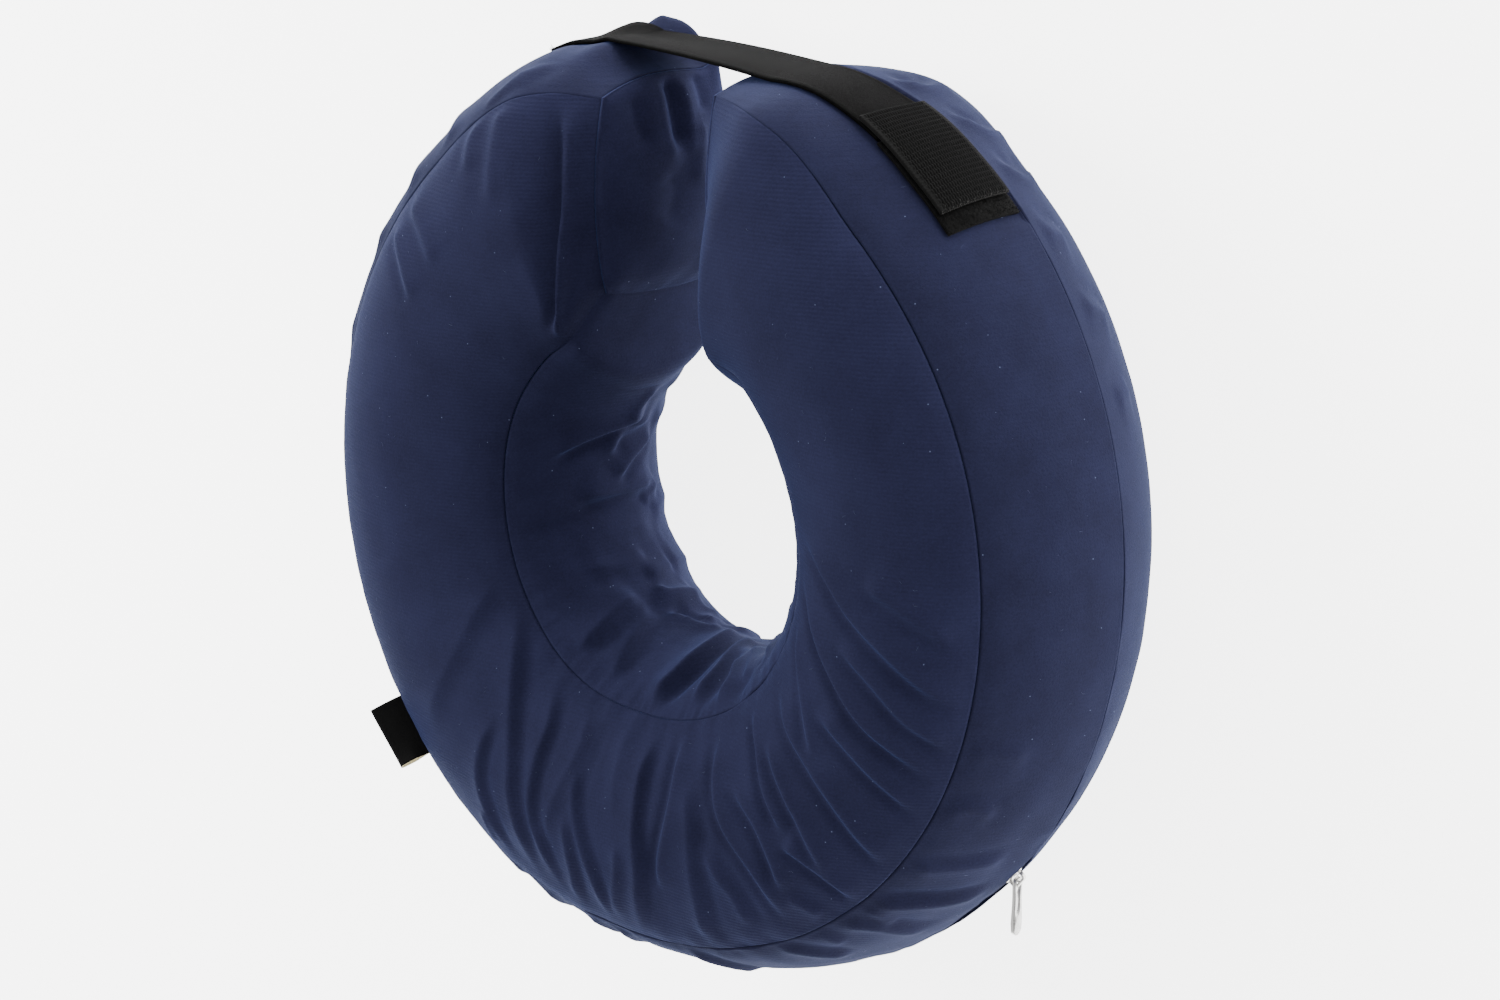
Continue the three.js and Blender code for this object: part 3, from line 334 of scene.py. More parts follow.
def sections_at(at):
    """The sections at these angles: centre, way out, seam corners as (out, up) pairs, and bulges."""
    at = np.asarray(at, float)
    on_left = at < FULL_TURN / 2
    from_end = np.where(on_left, at - FIRST_AT, LAST_AT - at)
    end_turn = np.where(on_left, -FIRST_AT, FULL_TURN - LAST_AT)
    turn = (90 + at) * DEG
    lean = end_turn * DEG * np.maximum(0, 1 - from_end / LEAN_REACH) ** 2
    reach = RING_RADIUS * smooth_between("ring", at)
    outer = OUTER_HALF * smooth_between("wide", at)
    inner = -INNER_HALF * smooth_between("wide", at)
    depth = SEAM_HALF_DEPTH * smooth_between("deep", at)
    bulge = smooth_between("bulge", at)
    zero = np.zeros_like(at)
    corners = {
        "front_in": np.stack([inner, depth], -1),
        "front_out": np.stack([outer, depth], -1),
        "back_out": np.stack([outer, -depth], -1),
        "back_in": np.stack([inner, -depth], -1),
    }
    return {
        "at": at,
        "centre": np.stack([np.cos(turn) * reach, np.sin(turn) * reach, zero], -1),
        "out": np.stack([np.cos(turn + lean), np.sin(turn + lean), zero], -1),
        "front": FACE_BULGE * bulge,
        "outer": OUTER_BULGE * bulge,
        "back": FACE_BULGE * smooth_between("back", at),
        "inner": INNER_BULGE * bulge,
        **corners,
    }


SIDES = {
    "front": ("front_in", "front_out", "inner", "outer"),
    "outer": ("front_out", "back_out", "front", "back"),
    "back": ("back_out", "back_in", "outer", "inner"),
    "inner": ("back_in", "front_in", "back", "front"),
}


def spots(section, side, share):
    """Places on one side of the sections: (out, up) points, normals, tangents, and the arcs' lengths."""
    first, last = section[SIDES[side][0]], section[SIDES[side][1]]
    chord = last - first
    length = np.linalg.norm(chord, axis=-1)
    along = chord / length[:, None]
    half = 2 * np.arctan(2 * section[side] / length)
    radius = length / 2 / np.sin(half)
    outward = np.stack([-along[:, 1], along[:, 0]], -1)
    share = np.broadcast_to(share, (len(length), np.shape(share)[-1]))
    angle = (2 * share - 1) * half[:, None]
    sin, cos = np.sin(angle)[..., None], np.cos(angle)[..., None]
    middle = (first + last)[:, None] / 2
    point = middle + along[:, None] * radius[:, None, None] * sin
    point = point + outward[:, None] * radius[:, None, None] * (cos - np.cos(half)[:, None, None])
    normal = along[:, None] * sin + outward[:, None] * cos
    tangent = np.stack([normal[..., 1], -normal[..., 0]], -1)
    return point, normal, tangent, 2 * half * radius


def in_space(section, point, tips=CLOTH_TIPS):
    """(out, up) points of each section as places in the collar's frame."""
    placed = section["centre"][:, None] + section["out"][:, None] * point[..., :1]
    placed = placed + np.array([0, 0, 1.0]) * point[..., 1:]
    for tip in tips:
        place = np.array([tip.x, tip.y, tip.z]) * MM
        apart = (placed - place) / (np.array([tip.wide, tip.tall, tip.deep]) * MM)
        placed = placed + np.array([0, tip.lift * MM, 0]) * np.exp(-(apart**2).sum(-1, keepdims=True))
    return placed + RING_CENTRE


def way_in_space(section, way):
    return section["out"][:, None] * way[..., :1] + np.array([0, 0, 1.0]) * way[..., 1:]


def slider_place():
    """The slider's frame on the crown seam, from the ring's centre: x along the zip, y across, z outward."""
    section = sections_at([SLIDER_AT])
    point, normal, _, _ = spots(section, "outer", [CROWN_SEAM])
    origin = in_space(section, point)[0, 0]
    outward = way_in_space(section, normal)[0, 0]
    centre = section["centre"][0]
    back_along = np.array([centre[1], -centre[0], 0])
    across = np.cross(outward, back_along)
    across /= np.linalg.norm(across)
    along = np.cross(across, outward)
    return origin, along, across, outward


RING_CENTRE = np.zeros(3)
HINGE_LIFT = CLEAR + SLIDER_THICK + BRIDGE_HEIGHT / 2
slider_origin, _, _, slider_outward = slider_place()
RING_CENTRE = np.array(frame["joints"][0]["pos_m"]) - (slider_origin + slider_outward * HINGE_LIFT)
FLOOR_Z = RING_CENTRE[2] + FLOOR


# Folds and puckers

def through(points, count):
    """A smooth line of count places through a fold's few points."""
    points = np.array(points, float)
    ends = [2 * points[0] - points[1], 2 * points[-1] - points[-2]]
    p = np.vstack([ends[:1], points, ends[1:]])
    spans = len(points) - 1
    t = np.linspace(0, spans, count)
    k = np.minimum(t.astype(int), spans - 1)
    t = (t - k)[:, None]
    a, b, c, d = p[k], p[k + 1], p[k + 2], p[k + 3]
    return 0.5 * (2 * b + (c - a) * t + (2 * a - 5 * b + 4 * c - d) * t**2 + (3 * b - a - 3 * c + d) * t**3)


def fold_lift(folds, at, share, x_scale, y_scale):
    """The folds' height over a grid. The scales turn the run's two numbers into metres at each place."""
    lift = np.zeros(np.broadcast(at, share, x_scale, y_scale).shape)
    at, share, x_scale, y_scale = np.broadcast_arrays(at, share, x_scale, y_scale)
    for fold in folds:
        line = through(fold.run, 8 * len(fold.run))
        width = max(fold.left, fold.right) * MM * 3.2
        pad = np.array([width / x_scale.mean(), width / y_scale.mean()])
        low, high = line.min(0) - pad, line.max(0) + pad
        near = (at > low[0]) & (at < high[0]) & (share > low[1]) & (share < high[1])
        x, y, sx, sy = at[near], share[near], x_scale[near], y_scale[near]
        best = np.full(x.shape, np.inf)
        aside = np.zeros(x.shape)
        along = np.zeros(x.shape)
        for k in range(len(line) - 1):
            ax, ay = (line[k, 0] - x) * sx, (line[k, 1] - y) * sy
            dx, dy = (line[k + 1, 0] - line[k, 0]) * sx, (line[k + 1, 1] - line[k, 1]) * sy
            t = np.clip(-(ax * dx + ay * dy) / (dx * dx + dy * dy), 0, 1)
            px, py = ax + t * dx, ay + t * dy
            distance = np.hypot(px, py)
            closer = distance < best
            side = np.sign(px * dy - py * dx)
            best = np.where(closer, distance, best)
            aside = np.where(closer, -side * distance, aside)
            along = np.where(closer, (k + t) / (len(line) - 1), along)
        slope = np.where(aside > 0, fold.right, fold.left) * MM
        crest = np.exp(-(np.sqrt(aside**2 + CREST_ROUND**2) - CREST_ROUND) / slope)
        valley_at = 1.9 * (fold.right if fold.dip > 0 else -fold.left) * MM
        valley = np.exp(-(((aside - valley_at) / (0.6 * valley_at if valley_at else MM)) ** 2))
        taper = np.clip(along / 0.22, 0, 1) * np.clip((1 - along) / 0.22, 0, 1)
        taper = taper * taper * (3 - 2 * taper)
        lift[near] += DRAPE * fold.tall * MM * taper * (crest - abs(fold.dip) * valley)
    return lift


def waves(length_along, seed, shortest, longest, count=7):
    """A smooth irregular wave over a length, between about -1 and 1."""
    draw = np.random.default_rng(seed)
    total = np.zeros_like(length_along)
    for _ in range(count):
        wavelength = draw.uniform(shortest, longest)
        total += np.sin(2 * math.pi * (length_along / wavelength + draw.uniform()))
    return total / math.sqrt(count * 2)


def gathered(at):
    """How gathered the cloth is round the ring: most at the bottom, a little at the arms' ends."""
    bottom = np.exp(-(((at - 195) / 55) ** 2))
    ends = np.exp(-(((at - FIRST_AT) / 14) ** 2)) + np.exp(-(((at - LAST_AT) / 10) ** 2))
    return 0.25 + 0.75 * bottom + 0.35 * ends


def seam_relief(distance, length_along, at, seed, depth=1.0):
    """The cloth near a seam: its edge turns in, it is drawn in a little, and it puckers."""
    turned = np.clip(distance, 0, SEAM_ROLL)
    roll = depth * (SEAM_ROLL - np.sqrt(np.maximum(SEAM_ROLL**2 - (SEAM_ROLL - turned) ** 2, 0)))
    pinch = depth * SEAM_PINCH * np.exp(-((distance / SEAM_PINCH_REACH) ** 2))
    strength = gathered(at)
    tight = waves(length_along, seed, 4 * MM, 8 * MM) * np.exp(-distance / (3 * MM))
    loose = waves(length_along, seed + 1, 9 * MM, 20 * MM) * np.exp(-distance / (9 * MM))
    rise = 1 - np.exp(-distance / (1.2 * MM))
    return -roll - pinch + rise * strength * (0.22 * MM * tight + 0.4 * MM * loose)


def slack(x, y, seed, strength):
    """Broad unevenness and faint creases of cloth that isn't tight."""
    draw = np.random.default_rng(seed)
    total = np.zeros(np.broadcast(x, y).shape)
    for _ in range(9):
        angle = draw.uniform(0, math.pi)
        wavelength = draw.uniform(16, 42) * MM
        phase = draw.uniform(0, 2 * math.pi)
        total += np.sin(2 * math.pi * (x * math.cos(angle) + y * math.sin(angle)) / wavelength + phase)
    return total / 3 * strength


# Meshes

def mesh_piece(name, points, quads, smooth=True):
    """A named mesh object from an (n, 3) array of points and an (m, 4) or (m, 3) array of faces."""
    mesh = bpy.data.meshes.new(name)
    points, quads = np.asarray(points, np.float32), np.asarray(quads, np.int32)
    corners = quads.shape[1]
    mesh.vertices.add(len(points))
    mesh.vertices.foreach_set("co", points.ravel())
    mesh.loops.add(quads.size)
    mesh.loops.foreach_set("vertex_index", quads.ravel())
    mesh.polygons.add(len(quads))
    mesh.polygons.foreach_set("loop_start", np.arange(0, quads.size, corners, dtype=np.int32))
    mesh.polygons.foreach_set("use_smooth", np.full(len(quads), smooth))
    mesh.update(calc_edges=True)
    mesh.validate()
    piece = bpy.data.objects.new(name, mesh)
    bpy.context.scene.collection.objects.link(piece)
    return piece


def grid_quads(columns, rows, start=0, flip=False):
    i, j = np.meshgrid(np.arange(columns - 1), np.arange(rows - 1), indexing="ij")
    a = start + i * rows + j
    quads = np.stack([a, a + rows, a + rows + 1, a + 1], -1).reshape(-1, 4)
    return quads[:, ::-1] if flip else quads


def shell_arrays(outer, inner):
    """Points and faces of a closed body between two grids of points, its faces turned outward."""
    columns, rows = outer.shape[:2]
    size = columns * rows
    faces = [grid_quads(columns, rows), grid_quads(columns, rows, size, flip=True)]
    index = np.arange(size).reshape(columns, rows)
    border = np.concatenate([index[:-1, 0], index[-1, :-1], index[:0:-1, -1], index[0, :0:-1]])
    following = np.roll(border, -1)
    faces.append(np.stack([following, border, border + size, following + size], -1))
    points = np.concatenate([outer.reshape(-1, 3), inner.reshape(-1, 3)])
    quads = np.concatenate(faces)
    a, b, c, d = (points[quads[:, k]] for k in range(4))
    volume = np.einsum("ij,ij->i", a, np.cross(b, c)).sum() + np.einsum("ij,ij->i", a, np.cross(c, d)).sum()
    return points, quads if volume > 0 else quads[:, ::-1]


def shell(name, outer, inner):
    return mesh_piece(name, *shell_arrays(outer, inner))


def joined(parts):
    """Many bodies' points and faces as one."""
    points, quads, start = [], [], 0
    for some_points, some_quads in parts:
        points.append(np.asarray(some_points))
        quads.append(np.asarray(some_quads) + start)
        start += len(some_points)
    return np.concatenate(points), np.concatenate(quads)


def closed_tube(line, rings):
    """Points and faces of a tube through rings of points, closed at both ends of its line."""
    count, sides = rings.shape[:2]
    quads = []
    for i in range(count - 1):
        for j in range(sides):
            k = (j + 1) % sides
            quads.append([i * sides + j, (i + 1) * sides + j, (i + 1) * sides + k, i * sides + k])
    points = rings.reshape(-1, 3)
    first, last = len(points), len(points) + 1
    points = np.vstack([points, [line[0], line[-1]]])
    base = (count - 1) * sides
    for j in range(0, sides, 2):
        k, m = (j + 1) % sides, (j + 2) % sides
        quads.append([first, j, k, m])
        quads.append([last, base + m, base + k, base + j])
    return points, np.array(quads)


def tube_arrays(line, radius, sides=6):
    """A thin closed tube along a line of points, tapered where radius is an array."""
    line = np.asarray(line, float)
    radius = np.broadcast_to(radius, len(line))
    way = np.gradient(line, axis=0)
    way /= np.linalg.norm(way, axis=1)[:, None]
    helper = np.where(np.abs(way[:, 2:]) > 0.9, [[1.0, 0, 0]], [[0, 0, 1.0]])
    u = np.cross(way, helper)
    u /= np.linalg.norm(u, axis=1)[:, None]
    v = np.cross(way, u)
    turn = np.arange(sides) * 2 * math.pi / sides
    ring = u[:, None] * np.cos(turn)[None, :, None] + v[:, None] * np.sin(turn)[None, :, None]
    return closed_tube(line, line[:, None] + ring * radius[:, None, None])


# The cloth cover

def near_edges(length, step):
    """Shares over a length: close together at both ends, even between."""
    near = NEAR_SEAM / length
    count = max(3, int(round((1 - 2 * near[-1]) * length / step)))
    return np.concatenate([near[:-1], np.linspace(near[-1], 1 - near[-1], count + 1), 1 - near[-2::-1]])


def cloth_angles():
    """Angles of the cloth's columns: finer where it is folded, finest at the arms' ends."""
    degrees = lambda length: length / RING_RADIUS / DEG
    near = degrees(NEAR_SEAM)
    start, end = FIRST_AT + near[-1], LAST_AT - near[-1]
    stops = [start, *FOLDED_STRETCH, end]
    steps = [CALM_STEP, FOLDED_STEP, CALM_STEP]
    angles = [FIRST_AT + near[:-1]]
    for low, high, step in zip(stops, stops[1:], steps):
        angles.append(np.linspace(low, high, int((high - low) / degrees(step)), endpoint=False))
    return np.concatenate([*angles, [end], LAST_AT - near[-2::-1]])


def slot_opening(at):
    """Half the opening along the crown seam: touching cloth, or the zip's lips."""
    inside = np.minimum(at - ZIP_FROM, ZIP_TO - at)
    t = np.clip(inside / 1.5 + 0.5, 0, 1)
    return SEAM_TOUCH + (ZIP_LIP_GAP - SEAM_TOUCH) * t * t * (3 - 2 * t)


def strap_across(at):
    """The share across the outer bands where the strap's middle lies: it slants over the gap."""
    return np.where(at < FULL_TURN / 2, STRAP_ACROSS_LEFT, STRAP_ACROSS_RIGHT)


def under_strap(at, share, length):
    """1 where the strap or the loop patch lies on the cloth and presses it flat, 0 elsewhere."""
    aside = np.abs(share - strap_across(at)) * length
    along = np.maximum(STRAP_FROM + 0.5 - at, at - PATCH_TO + 0.5) * RING_RADIUS * DEG
    inside = np.minimum(PATCH_WIDTH / 2 + 1.5 * MM - aside, along + 1.5 * MM)
    t = np.clip(inside / (1.5 * MM), 0, 1)
    return t * t * (3 - 2 * t)


def notch(at, share, x_scale, length):
    """The pinch where the neck seam, the front seam and the left cap meet."""
    distance = np.hypot((at - FIRST_AT) * x_scale / 4.5, share * length)
    return -NOTCH_DEPTH * np.exp(-((distance / NOTCH_REACH) ** 2))


def cover_points(side, shares, low, high, folds, seed, crown_low=False, crown_high=False):
    """The outer and the inner grid of a cover panel between two places across one side."""
    section = sections_at(COLUMNS)
    share = low + (high - low) * shares[None, :]
    point, normal, tangent, length = spots(section, side, share)
    length = length[:, None]
    at = COLUMNS[:, None]
    radius = np.linalg.norm(section["centre"], axis=1)[:, None] + point[..., 0]
    x_scale = radius * DEG
    from_label = np.abs(at - LABEL_AT) * RING_RADIUS * DEG * 1.35
    at_label = np.clip((LABEL_WIDTH / 2 + 1.5 * MM - from_label) / MM, 0, 1)
    room = LABEL_PLY * 1.3 * at_label
    opening_low = slot_opening(at) if crown_low else SEAM_TOUCH + (side == "outer") * room
    opening_high = slot_opening(at) if crown_high else SEAM_TOUCH + (side == "front") * room
    edge = np.clip(1 - 2 * shares, -1, 1)[None, :]
    shift = np.where(edge > 0, opening_low * edge**4, -opening_high * edge**4)
    to_low = (share - low) * length
    to_high = (high - share) * length
    around = at * RING_RADIUS * DEG
    lift = fold_lift(folds, at, share, x_scale, length)
    to_end = np.minimum(at - FIRST_AT, LAST_AT - at) * x_scale
    lift = lift * (1 - np.exp(-((to_end / END_CALM) ** 2)))
    low_fade = 1 - 0.75 * np.exp(-((to_low / SEAM_FADE_REACH) ** 2))
    high_fade = 1 - 0.75 * np.exp(-((to_high / SEAM_FADE_REACH) ** 2))
    lift = lift * (low_fade * high_fade)
    lift = lift + seam_relief(to_low, around, at, seed, CROWN_SEAM_DEPTH if crown_low else 1)
    lift = lift + seam_relief(to_high, around, at, seed + 10, CROWN_SEAM_DEPTH if crown_high else 1)
    to_crown = to_low if crown_low else to_high
    if crown_low or crown_high:
        ridge = CROWN_RIDGE * np.exp(-to_crown / CROWN_RIDGE_REACH)
        if crown_high:
            ridge = ridge * (1 - CROWN_DIP * np.exp(-(((at - CROWN_DIP_AT) / CROWN_DIP_WIDTH) ** 2)))
        lift = lift + ridge
    across = share * length
    end_depth = END_SEAM_DEPTH * np.where(at < FULL_TURN / 2, 1, 0.35) * (0.3 if side == "inner" else 1)
    lift = lift + seam_relief(to_end, across + 0 * at, at, seed + 20, end_depth)
    lift = lift + slack(around, across, seed + 30, 0.22 * MM) * gathered(at)
    if side == "outer":
        pressed = under_strap(at, share, length)
        lift = lift * (1 - pressed) + np.minimum(lift, 0) * pressed
    if side == "front":
        lift = lift + notch(at, share, x_scale, length)
    if side == "inner":
        lift = lift + notch(at, 1 - share, x_scale, length)
    outer = in_space(section, point + tangent * shift[..., None] + normal * lift[..., None])
    inner = in_space(section, point + tangent * shift[..., None] + normal * (lift - CLOTH)[..., None])
    outer[..., 2] = np.maximum(outer[..., 2], FLOOR_Z)
    inner[..., 2] = np.maximum(inner[..., 2], FLOOR_Z + CLOTH)
    return outer, inner


COLUMNS = cloth_angles()
PANEL_LENGTH = 85 * MM
OUTER_LENGTH = 88 * MM
INNER_LENGTH = 96 * MM


def cover_piece(name, side, rows, low, high, folds, seed, **crown):
    outer, inner = cover_points(side, rows, low, high, folds, seed, **crown)
    piece = shell(name, outer, inner)
    finish_piece(piece, [name], CLOTH_OF[name])
    return outer


def cap_points(at, towards_gap, dome, inset, folds, seed):
    """The outer and the inner grid of an end cap, stretched between the four arcs of its end section."""
    section = sections_at([at])
    us = near_edges(70 * MM, 1.2 * MM)
    ws = near_edges(60 * MM, 1.2 * MM)
    edge = {side: lambda share, side=side: spots(section, side, share)[0][0] for side in SIDES}
    corner = {name: section[name][0] for name in ("back_in", "back_out", "front_in", "front_out")}
    u, w = us[:, None, None], ws[None, :, None]
    point = edge["back"](1 - us)[:, None] * (1 - w) + edge["front"](us)[:, None] * w
    point = point + edge["inner"](ws)[None] * (1 - u) + edge["outer"](1 - ws)[None] * u
    point = point - corner["back_in"] * (1 - u) * (1 - w) - corner["back_out"] * u * (1 - w)
    point = point - corner["front_in"] * (1 - u) * w - corner["front_out"] * u * w
    u, w = u[..., 0], w[..., 0]
    high = corner["front_out"][1] - corner["back_out"][1]
    wide = corner["front_out"][0] - corner["front_in"][0]
    to_edge = np.minimum(np.minimum(u, 1 - u) * wide, np.minimum(w, 1 - w) * high)
    lift = dome * (16 * u * (1 - u) * w * (1 - w)) ** 0.9
    lift = lift + fold_lift(folds, w + 0 * u, u + 0 * w, np.full_like(u + w, high), np.full_like(u + w, wide))
    at_neck = np.exp(-((u * wide / (6 * MM)) ** 2)) * np.exp(-((to_edge - u * wide) / (3 * MM)) ** 2)
    seam_depth = END_SEAM_DEPTH * (1 - 0.8 * at_neck)
    lift = lift + seam_relief(to_edge, (u + w) * wide, np.full_like(u + w, FIRST_AT), seed, seam_depth)
    if towards_gap > 0:
        to_notch = np.hypot(u * wide, (1 - w) * high)
        lift = lift - NOTCH_DEPTH * np.exp(-((to_notch / NOTCH_REACH) ** 2))
    lift = lift + slack(w * high, u * wide, seed + 30, 0.3 * MM)
    tuck_reach = (1.2 + 3 * at_neck) * MM
    lift = np.maximum(lift - CAP_TUCK * np.exp(-to_edge / tuck_reach), SEAM_TOUCH - CAP_TUCK)
    middle = (corner["back_in"] + corner["front_out"]) / 2
    inward = middle - point
    inward = inward / np.linalg.norm(inward, axis=-1, keepdims=True)
    point = point + inward * (inset * np.exp(-to_edge / (2 * MM)))[..., None]
    placed = in_space(section, point.reshape(1, -1, 2))[0].reshape(len(us), len(ws), 3)
    outer, inner = placed.copy(), placed.copy()
    face = RING_CENTRE[0] - towards_gap * GAP_HALF
    outer[..., 0] = face + towards_gap * lift
    inner[..., 0] = face + towards_gap * (lift - CLOTH)
    return outer, inner


def cap_piece(name, at, towards_gap, dome, inset, folds, seed):
    piece = shell(name, *cap_points(at, towards_gap, dome, inset, folds, seed))
    finish_piece(piece, [name], CLOTH_OF[name])


def finish_piece(piece, nodes, material, body="collar"):
    """Gives a piece its material and its place in the frame."""
    piece.data.materials.append(material)
    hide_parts(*nodes)
    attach(piece, body)


def finish_trim(piece, material):
    """Gives a small part that belongs to another piece its material."""
    piece.data.materials.append(material)
    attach(piece, "collar")


# Materials

def socket_group(name, inputs, outputs):
    """A node group with named inputs, given as name to default value, and named float outputs."""
    tree = bpy.data.node_groups.new(name, "ShaderNodeTree")
    for label, value in inputs.items():
        kind = "NodeSocketVector" if value is None else "NodeSocketFloat"
        socket = tree.interface.new_socket(label, in_out="INPUT", socket_type=kind)
        if value is not None:
            socket.default_value = value
    for label in outputs:
        tree.interface.new_socket(label, in_out="OUTPUT", socket_type="NodeSocketFloat")
    return tree, tree.nodes.new("NodeGroupInput"), tree.nodes.new("NodeGroupOutput")


def add_node(tree, kind, settings=None, **links):
    """A node with its settings, and its inputs linked or set by name or number."""
    node = tree.nodes.new(kind)
    for key, value in (settings or {}).items():
        setattr(node, key, value)
    for key, value in links.items():
        socket = node.inputs[int(key[1:]) if key[0] == "i" and key[1:].isdigit() else key.replace("_", " ")]
        if isinstance(value, bpy.types.NodeSocket):
            tree.links.new(value, socket)
        else:
            socket.default_value = value
    return node


def math_node(tree, operation, first, second=0.0, third=0.0):
    node = add_node(tree, "ShaderNodeMath", {"operation": operation}, i0=first, i1=second, i2=third)
    return node.outputs[0]


def knit_ribs_group():
    """Fine knitted ribs: bands along X with small stitches in them, softened by noise."""
    sockets = {"Place": None, "Pitch": 0.0013, "Stitch": 0.0009}
    tree, given, out = socket_group("knit_ribs", sockets, ["Height"])
    warp = add_node(tree, "ShaderNodeTexNoise", {"noise_dimensions": "3D"}, Vector=given.outputs["Place"],
                    Scale=120.0, Detail=2.0)
    bend = math_node(tree, "MULTIPLY", warp.outputs["Fac"], 0.0008)
    parts = add_node(tree, "ShaderNodeSeparateXYZ", None, i0=given.outputs["Place"])
    y = math_node(tree, "ADD", parts.outputs["Y"], bend)
    turns = math_node(tree, "DIVIDE", y, given.outputs["Pitch"])
    rib = math_node(tree, "SINE", math_node(tree, "MULTIPLY", turns, 2 * math.pi))
    stitches = math_node(tree, "DIVIDE", math_node(tree, "ADD", parts.outputs["X"], parts.outputs["Z"]),
                         given.outputs["Stitch"])
    stitch = math_node(tree, "SINE", math_node(tree, "MULTIPLY", stitches, 2 * math.pi))
    both = math_node(tree, "MULTIPLY_ADD", stitch, 0.25, rib)
    tree.links.new(math_node(tree, "MULTIPLY_ADD", both, 0.4, 0.5), out.inputs["Height"])
    return tree


def nap_group():
    """Brushed nap: clouds of lighter and darker pile at two scales, and a fine grain."""
    tree, given, out = socket_group("brushed_nap", {"Place": None, "Cloud": 45.0, "Grain": 1400.0},
                                    ["Cloud", "Grain"])
    cloud = add_node(tree, "ShaderNodeTexNoise", None, Vector=given.outputs["Place"],
                     Scale=given.outputs["Cloud"], Detail=5.0, Roughness=0.62)
    grain = add_node(tree, "ShaderNodeTexNoise", None, Vector=given.outputs["Place"],
                     Scale=given.outputs["Grain"], Detail=3.0, Roughness=0.7)
    tree.links.new(cloud.outputs["Fac"], out.inputs["Cloud"])
    tree.links.new(grain.outputs["Fac"], out.inputs["Grain"])
    return tree


def lint_group():
    """Sparse specks of pale lint, 1 where a speck is."""
    tree, given, out = socket_group("lint_specks", {"Place": None, "Scale": 420.0, "Amount": 0.05}, ["Speck"])
    cell = add_node(tree, "ShaderNodeTexVoronoi", {"feature": "F1"}, Vector=given.outputs["Place"],
                    Scale=given.outputs["Scale"])
    tone = add_node(tree, "ShaderNodeSeparateColor", None, i0=cell.outputs["Color"])
    chosen = math_node(tree, "LESS_THAN", tone.outputs[0], given.outputs["Amount"])
    near = math_node(tree, "LESS_THAN", cell.outputs["Distance"], 0.09)
    tree.links.new(math_node(tree, "MULTIPLY", chosen, near), out.inputs["Speck"])
    return tree


def weave_group():
    """A tight woven ribbon: slanting yarns, for bump."""
    tree, given, out = socket_group("ribbon_weave", {"Place": None, "Pitch": 0.0007}, ["Height"])
    parts = add_node(tree, "ShaderNodeSeparateXYZ", None, i0=given.outputs["Place"])
    first = math_node(tree, "DIVIDE", math_node(tree, "ADD", parts.outputs["X"], parts.outputs["Z"]),
                      given.outputs["Pitch"])
    second = math_node(tree, "DIVIDE", math_node(tree, "SUBTRACT", parts.outputs["X"], parts.outputs["Z"]),
                       given.outputs["Pitch"])
    a = math_node(tree, "SINE", math_node(tree, "MULTIPLY", first, 2 * math.pi))
    b = math_node(tree, "SINE", math_node(tree, "MULTIPLY", second, 2 * math.pi))
    tree.links.new(math_node(tree, "MULTIPLY_ADD", math_node(tree, "MULTIPLY", a, b), 0.5, 0.5),
                   out.inputs["Height"])
    return tree


GROUPS = {"ribs": knit_ribs_group(), "nap": nap_group(), "lint": lint_group(), "weave": weave_group()}


def place_group(tree, name, place, **values):
    node = tree.nodes.new("ShaderNodeGroup")
    node.node_tree = GROUPS[name]
    tree.links.new(place, node.inputs["Place"])
    for key, value in values.items():
        node.inputs[key].default_value = value
    return node


def new_material(name, **settings):
    """A material with a Principled shader; settings are the shader's own sockets."""
    material = bpy.data.materials.new(name)
    material.use_nodes = True
    tree = material.node_tree
    shader = tree.nodes["Principled BSDF"]
    for key, value in settings.items():
        shader.inputs[key.replace("_", " ")].default_value = value
    place = tree.nodes.new("ShaderNodeTexCoord").outputs["Object"]
    return material, tree, shader, place


def mix_colours(tree, share, first, second):
    node = add_node(tree, "ShaderNodeMix", {"data_type": "RGBA"})
    for socket, value in ((node.inputs[0], share), (node.inputs[6], first), (node.inputs[7], second)):
        if isinstance(value, bpy.types.NodeSocket):
            tree.links.new(value, socket)
        else:
            socket.default_value = value
    return node.outputs[2]


def stretched(tree, value, low, high, to_low=0.0, to_high=1.0):
    node = add_node(tree, "ShaderNodeMapRange", {"clamp": True})
    for socket, given in zip(node.inputs[:5], (value, low, high, to_low, to_high)):
        if isinstance(given, bpy.types.NodeSocket):
            tree.links.new(given, socket)
        else:
            socket.default_value = given
    return node.outputs[0]


def colour(red, green, blue):
    """A colour given as it looks on screen, 0 to 255, as the shader wants it."""
    shares = [tone / 255 for tone in (red, green, blue)]
    linear = [c / 12.92 if c <= 10 / 255 else ((c + 0.055) / 1.055) ** 2.4 for c in shares]
    return (*linear, 1.0)


NAVY_DARK, NAVY_LIGHT = colour(24, 25, 46), colour(33, 35, 60)
# The outer bands' navy, darker than the rest of the cover: painted shade that offsets the strong light the
# bands get from the glowing floor and the top lamp
BAND_SHADED_DARK, BAND_SHADED_LIGHT = colour(22, 23, 42), colour(30, 32, 55)
LINT = colour(100, 110, 140)


